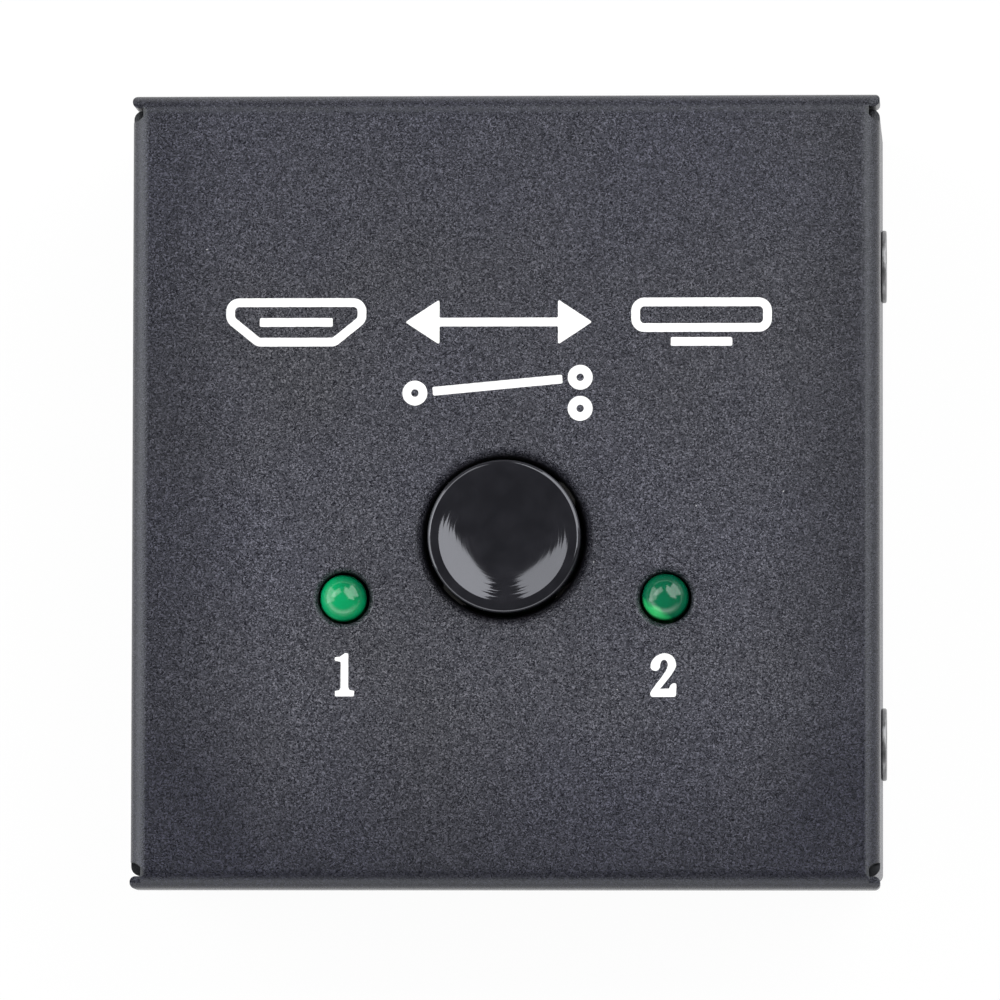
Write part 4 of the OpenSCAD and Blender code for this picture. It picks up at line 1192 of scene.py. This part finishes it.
def makeInkTree():  # filled loops with slightly ragged edges, as thick as a coat of ink
    tree, given = startTree("printed_mark", {"Sample": "Float", "Ragged": "Float", "Scale": "Float",
                                             "Thick": "Float", "Weld": "Float", "Material": "Material"})
    lines = addNode(tree, "GeometryNodeMeshToCurve", {"Mesh": given["Geometry"]})
    fine = addNode(tree, "GeometryNodeResampleCurve", {"Curve": lines, "Length": given["Sample"]},
                   mode="LENGTH")
    noise = addNode(tree, "ShaderNodeTexNoise", {"Scale": given["Scale"], "Detail": 1.0},
                    noise_dimensions="3D")
    centred = addVector(tree, "SUBTRACT", noise.outputs["Color"], (0.5, 0.5, 0.5))
    level = addVector(tree, "MULTIPLY", addScale(tree, centred, given["Ragged"]), (1, 1, 0))
    ragged = addNode(tree, "GeometryNodeSetPosition", {"Geometry": fine, "Offset": level})
    filled = addNode(tree, "GeometryNodeFillCurve", {"Curve": ragged}, mode="NGONS")
    raised = addNode(tree, "GeometryNodeExtrudeMesh", {
        "Mesh": filled, "Offset Scale": given["Thick"], "Individual": False}, mode="FACES")
    closed = addNode(tree, "GeometryNodeJoinGeometry")
    under = addNode(tree, "GeometryNodeFlipFaces", {"Mesh": filled})
    for half in (raised, under):
        feed(tree, closed, Geometry=half.outputs["Mesh"])
    welded = addNode(tree, "GeometryNodeMergeByDistance", {"Geometry": closed, "Distance": given["Weld"]})
    endTree(tree, welded, given["Material"])
    return tree


inkTree = makeInkTree()


def printMark(name, loops):
    work = bmesh.new()
    for loop in loops:
        verts = [work.verts.new((x, y, 0)) for x, y in loop]
        for here, there in zip(verts, verts[1:] + verts[:1]):
            work.edges.new((here, there))
    mark = newPiece(name, work)
    growPiece(mark, inkTree, {"Sample": markShape["sample"], "Ragged": markShape["ragged"],
                              "Scale": float(markShape["raggedScale"]),
                              "Thick": markShape["thick"] + markShape["sink"],
                              "Weld": markShape["weld"], "Material": whiteInk})
    mark.data.transform(Matrix.Translation((0, 0, coverTop - markShape["sink"])))
    wearFinish(mark, whiteInk)
    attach(mark, bodyOf["top_cover"])


figures = {
    "figure_1": roundLoop(figureOne, markShape["figureCorner"], markShape["cornerSteps"]),
    "figure_2": curveLoop(figureTwo),
}
for name, loop in figures.items():
    printMark(name, moved([loop], figurePlaces[name], mm))
signPlace = Vector(signRow["middle"])
aside = Vector((signRow["reach"], 0))
printMark("port_sign", moved(portSign(signRow), signPlace - aside))
printMark("arrow_sign", moved(arrowSign(signRow), signPlace))
printMark("screen_sign", moved(screenSign(signRow), signPlace + aside))
printMark("switch_sign", moved(switchSign(switchRow), switchRow["middle"]))
print("marks printed")


# Finishes of the CAD nodes that stay as they are

for node, solid in frame["nodes"].items():
    if not solid.hide_render:
        solid.material_slots[0].material = finishes[slotOf[node]]
        print("kept CAD node:", node)


# Floor, light and camera

floorLook = {
    "size": 12.0,
    "drop": 0.02 * mm,
    "paper": (0.86, 0.86, 0.86),
    "dim": 0.98,  # between the fibres
    "roughness": 0.7,
    "gloss": 0.2,
    "grainScale": 900,
    "whiteShare": 0.96,
}


def addWhite(tree):
    return addNode(tree, "ShaderNodeEmission", {"Color": (1, 1, 1, 1), "Strength": 1.0}).outputs["Emission"]


def makePaper():  # white paper that keeps a faint shadow
    look = floorLook
    material, tree, shader, coords = startMaterial(
        "white_paper", Roughness=look["roughness"], Specular_IOR_Level=look["gloss"])
    fibre = addNoise(tree, coords, look["grainScale"])
    dim = tuple(look["dim"] * value for value in look["paper"])
    feed(tree, shader, Base_Color=blend(tree, fibre, dim, look["paper"]))
    path = addNode(tree, "ShaderNodeLightPath").outputs
    seen = addMath(tree, "MAXIMUM", path["Is Camera Ray"], path["Is Glossy Ray"])
    seen = addMath(tree, "MAXIMUM", seen, path["Is Transmission Ray"])
    share = addMath(tree, "MULTIPLY", seen, look["whiteShare"])
    mixed = addNode(tree, "ShaderNodeMixShader", {0: share, 1: shader.outputs["BSDF"], 2: addWhite(tree)})
    feed(tree, tree.nodes["Material Output"], Surface=mixed.outputs["Shader"])
    return material


def makeFloor():
    work = bmesh.new()
    bmesh.ops.create_grid(work, x_segments=1, y_segments=1, size=floorLook["size"] / 2)
    bmesh.ops.translate(work, verts=work.verts, vec=(0, 0, -floorLook["drop"]))
    floor = newPiece("floor", work)
    wearFinish(floor, makePaper())
    floor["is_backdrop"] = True


makeFloor()

backdropLook = {"radius": 5.0, "height": 0.6, "segments": 64}


def makeBackdrop():  # a low white wall far behind, for level views
    look = backdropLook
    work = turnProfile([(look["radius"], z) for z in (-floorLook["drop"], look["height"])], look["segments"])
    bmesh.ops.reverse_faces(work, faces=work.faces)
    wall = newPiece("backdrop", work)
    material = bpy.data.materials.new("backdrop_white")
    material.use_nodes = True
    tree = material.node_tree
    feed(tree, tree.nodes["Material Output"], Surface=addWhite(tree))
    wearFinish(wall, material)
    wall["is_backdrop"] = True


makeBackdrop()

softboxes = {  # facing in degrees, distance, reach to both sides, low and high edge in metres, radiance
    "softbox_right": (36, 0.36, (-0.36, 0.37), (0.32, 0.92), 4.3),
    "softbox_right_foot": (36, 0.36, (-0.20, 0.16), (0.06, 0.32), 3.7),
    "softbox_left": (125.5, 0.53, (-0.15, 0.57), (0.42, 1.02), 3.3),
    "softbox_left_foot": (165, 0.50, (-0.25, 0.32), (0.03, 0.60), 2.8),
}


def makeSoftbox(name, facing, distance, reach, rise, radiance):  # an upright panel beside the box
    lamp = bpy.data.lights.new(name, "AREA")
    lamp.shape = "RECTANGLE"
    lamp.size = reach[1] - reach[0]
    lamp.size_y = rise[1] - rise[0]
    lamp.energy = radiance * math.pi * lamp.size * lamp.size_y
    box = newObject(name, lamp)
    turn = math.radians(facing)
    away = Vector((math.cos(turn), math.sin(turn), 0))
    across = Vector((-math.sin(turn), math.cos(turn), 0))
    up = Vector((0, 0, 1))
    place = away * distance + across * sum(reach) / 2 + up * sum(rise) / 2
    placeObject(box, place, across, up, away)
    box.visible_camera = False


for name, settings in softboxes.items():
    makeSoftbox(name, *settings)

tentLook = {"top": 0.14, "back": 0.10, "front": 3.0, "edge": (0.30, 0.56), "turn": (0.0, 0.8),
            "towards": (-0.35, -0.94, 0)}


def makeTent():  # a dim studio with pale card round the front
    look = tentLook
    world = bpy.data.worlds.new("studio")
    bpy.context.scene.world = world
    world.use_nodes = True
    tree = world.node_tree
    direction = addNode(tree, "ShaderNodeTexCoord").outputs["Generated"]
    parts = addNode(tree, "ShaderNodeSeparateXYZ", {"Vector": direction}).outputs
    facing = addVector(tree, "DOT_PRODUCT", direction, look["towards"])
    wall = addRange(tree, facing, look["back"], look["front"], *look["turn"])
    high = addRange(tree, parts["Z"], 0.0, 1.0, *look["edge"])
    background = tree.nodes["Background"]
    background.inputs["Color"].default_value = (1, 1, 1, 1)
    feed(tree, background, Strength=mixLevel(tree, high, wall, look["top"]))


makeTent()

cameraLook = {
    "place": (0.031951, -0.046527, 0.700),
    "aim": (-0.000343, -0.000554, 0.017),
    "roll": -0.002,
    "lens": 384.83,
    "sensor": 36.0,
    "clip": (0.01, 100),
}


def makeCamera():
    look = cameraLook
    eye = bpy.data.cameras.new("camera")
    eye.lens = look["lens"]
    eye.sensor_width = look["sensor"]
    eye.clip_start, eye.clip_end = look["clip"]
    camera = newObject("camera", eye)
    place = Vector(look["place"])
    back = (place - Vector(look["aim"])).normalized()
    north = Vector((math.sin(look["roll"]), math.cos(look["roll"]), 0))
    right = north.cross(back).normalized()
    placeObject(camera, place, right, back.cross(right), back)
    bpy.context.scene.camera = camera


makeCamera()
bpy.context.scene.view_settings.view_transform = "Standard"
print("stage set")

boxes = {"cad": cadBox, "visual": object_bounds()}
{name: [list(corner) for corner in box] for name, box in boxes.items()}
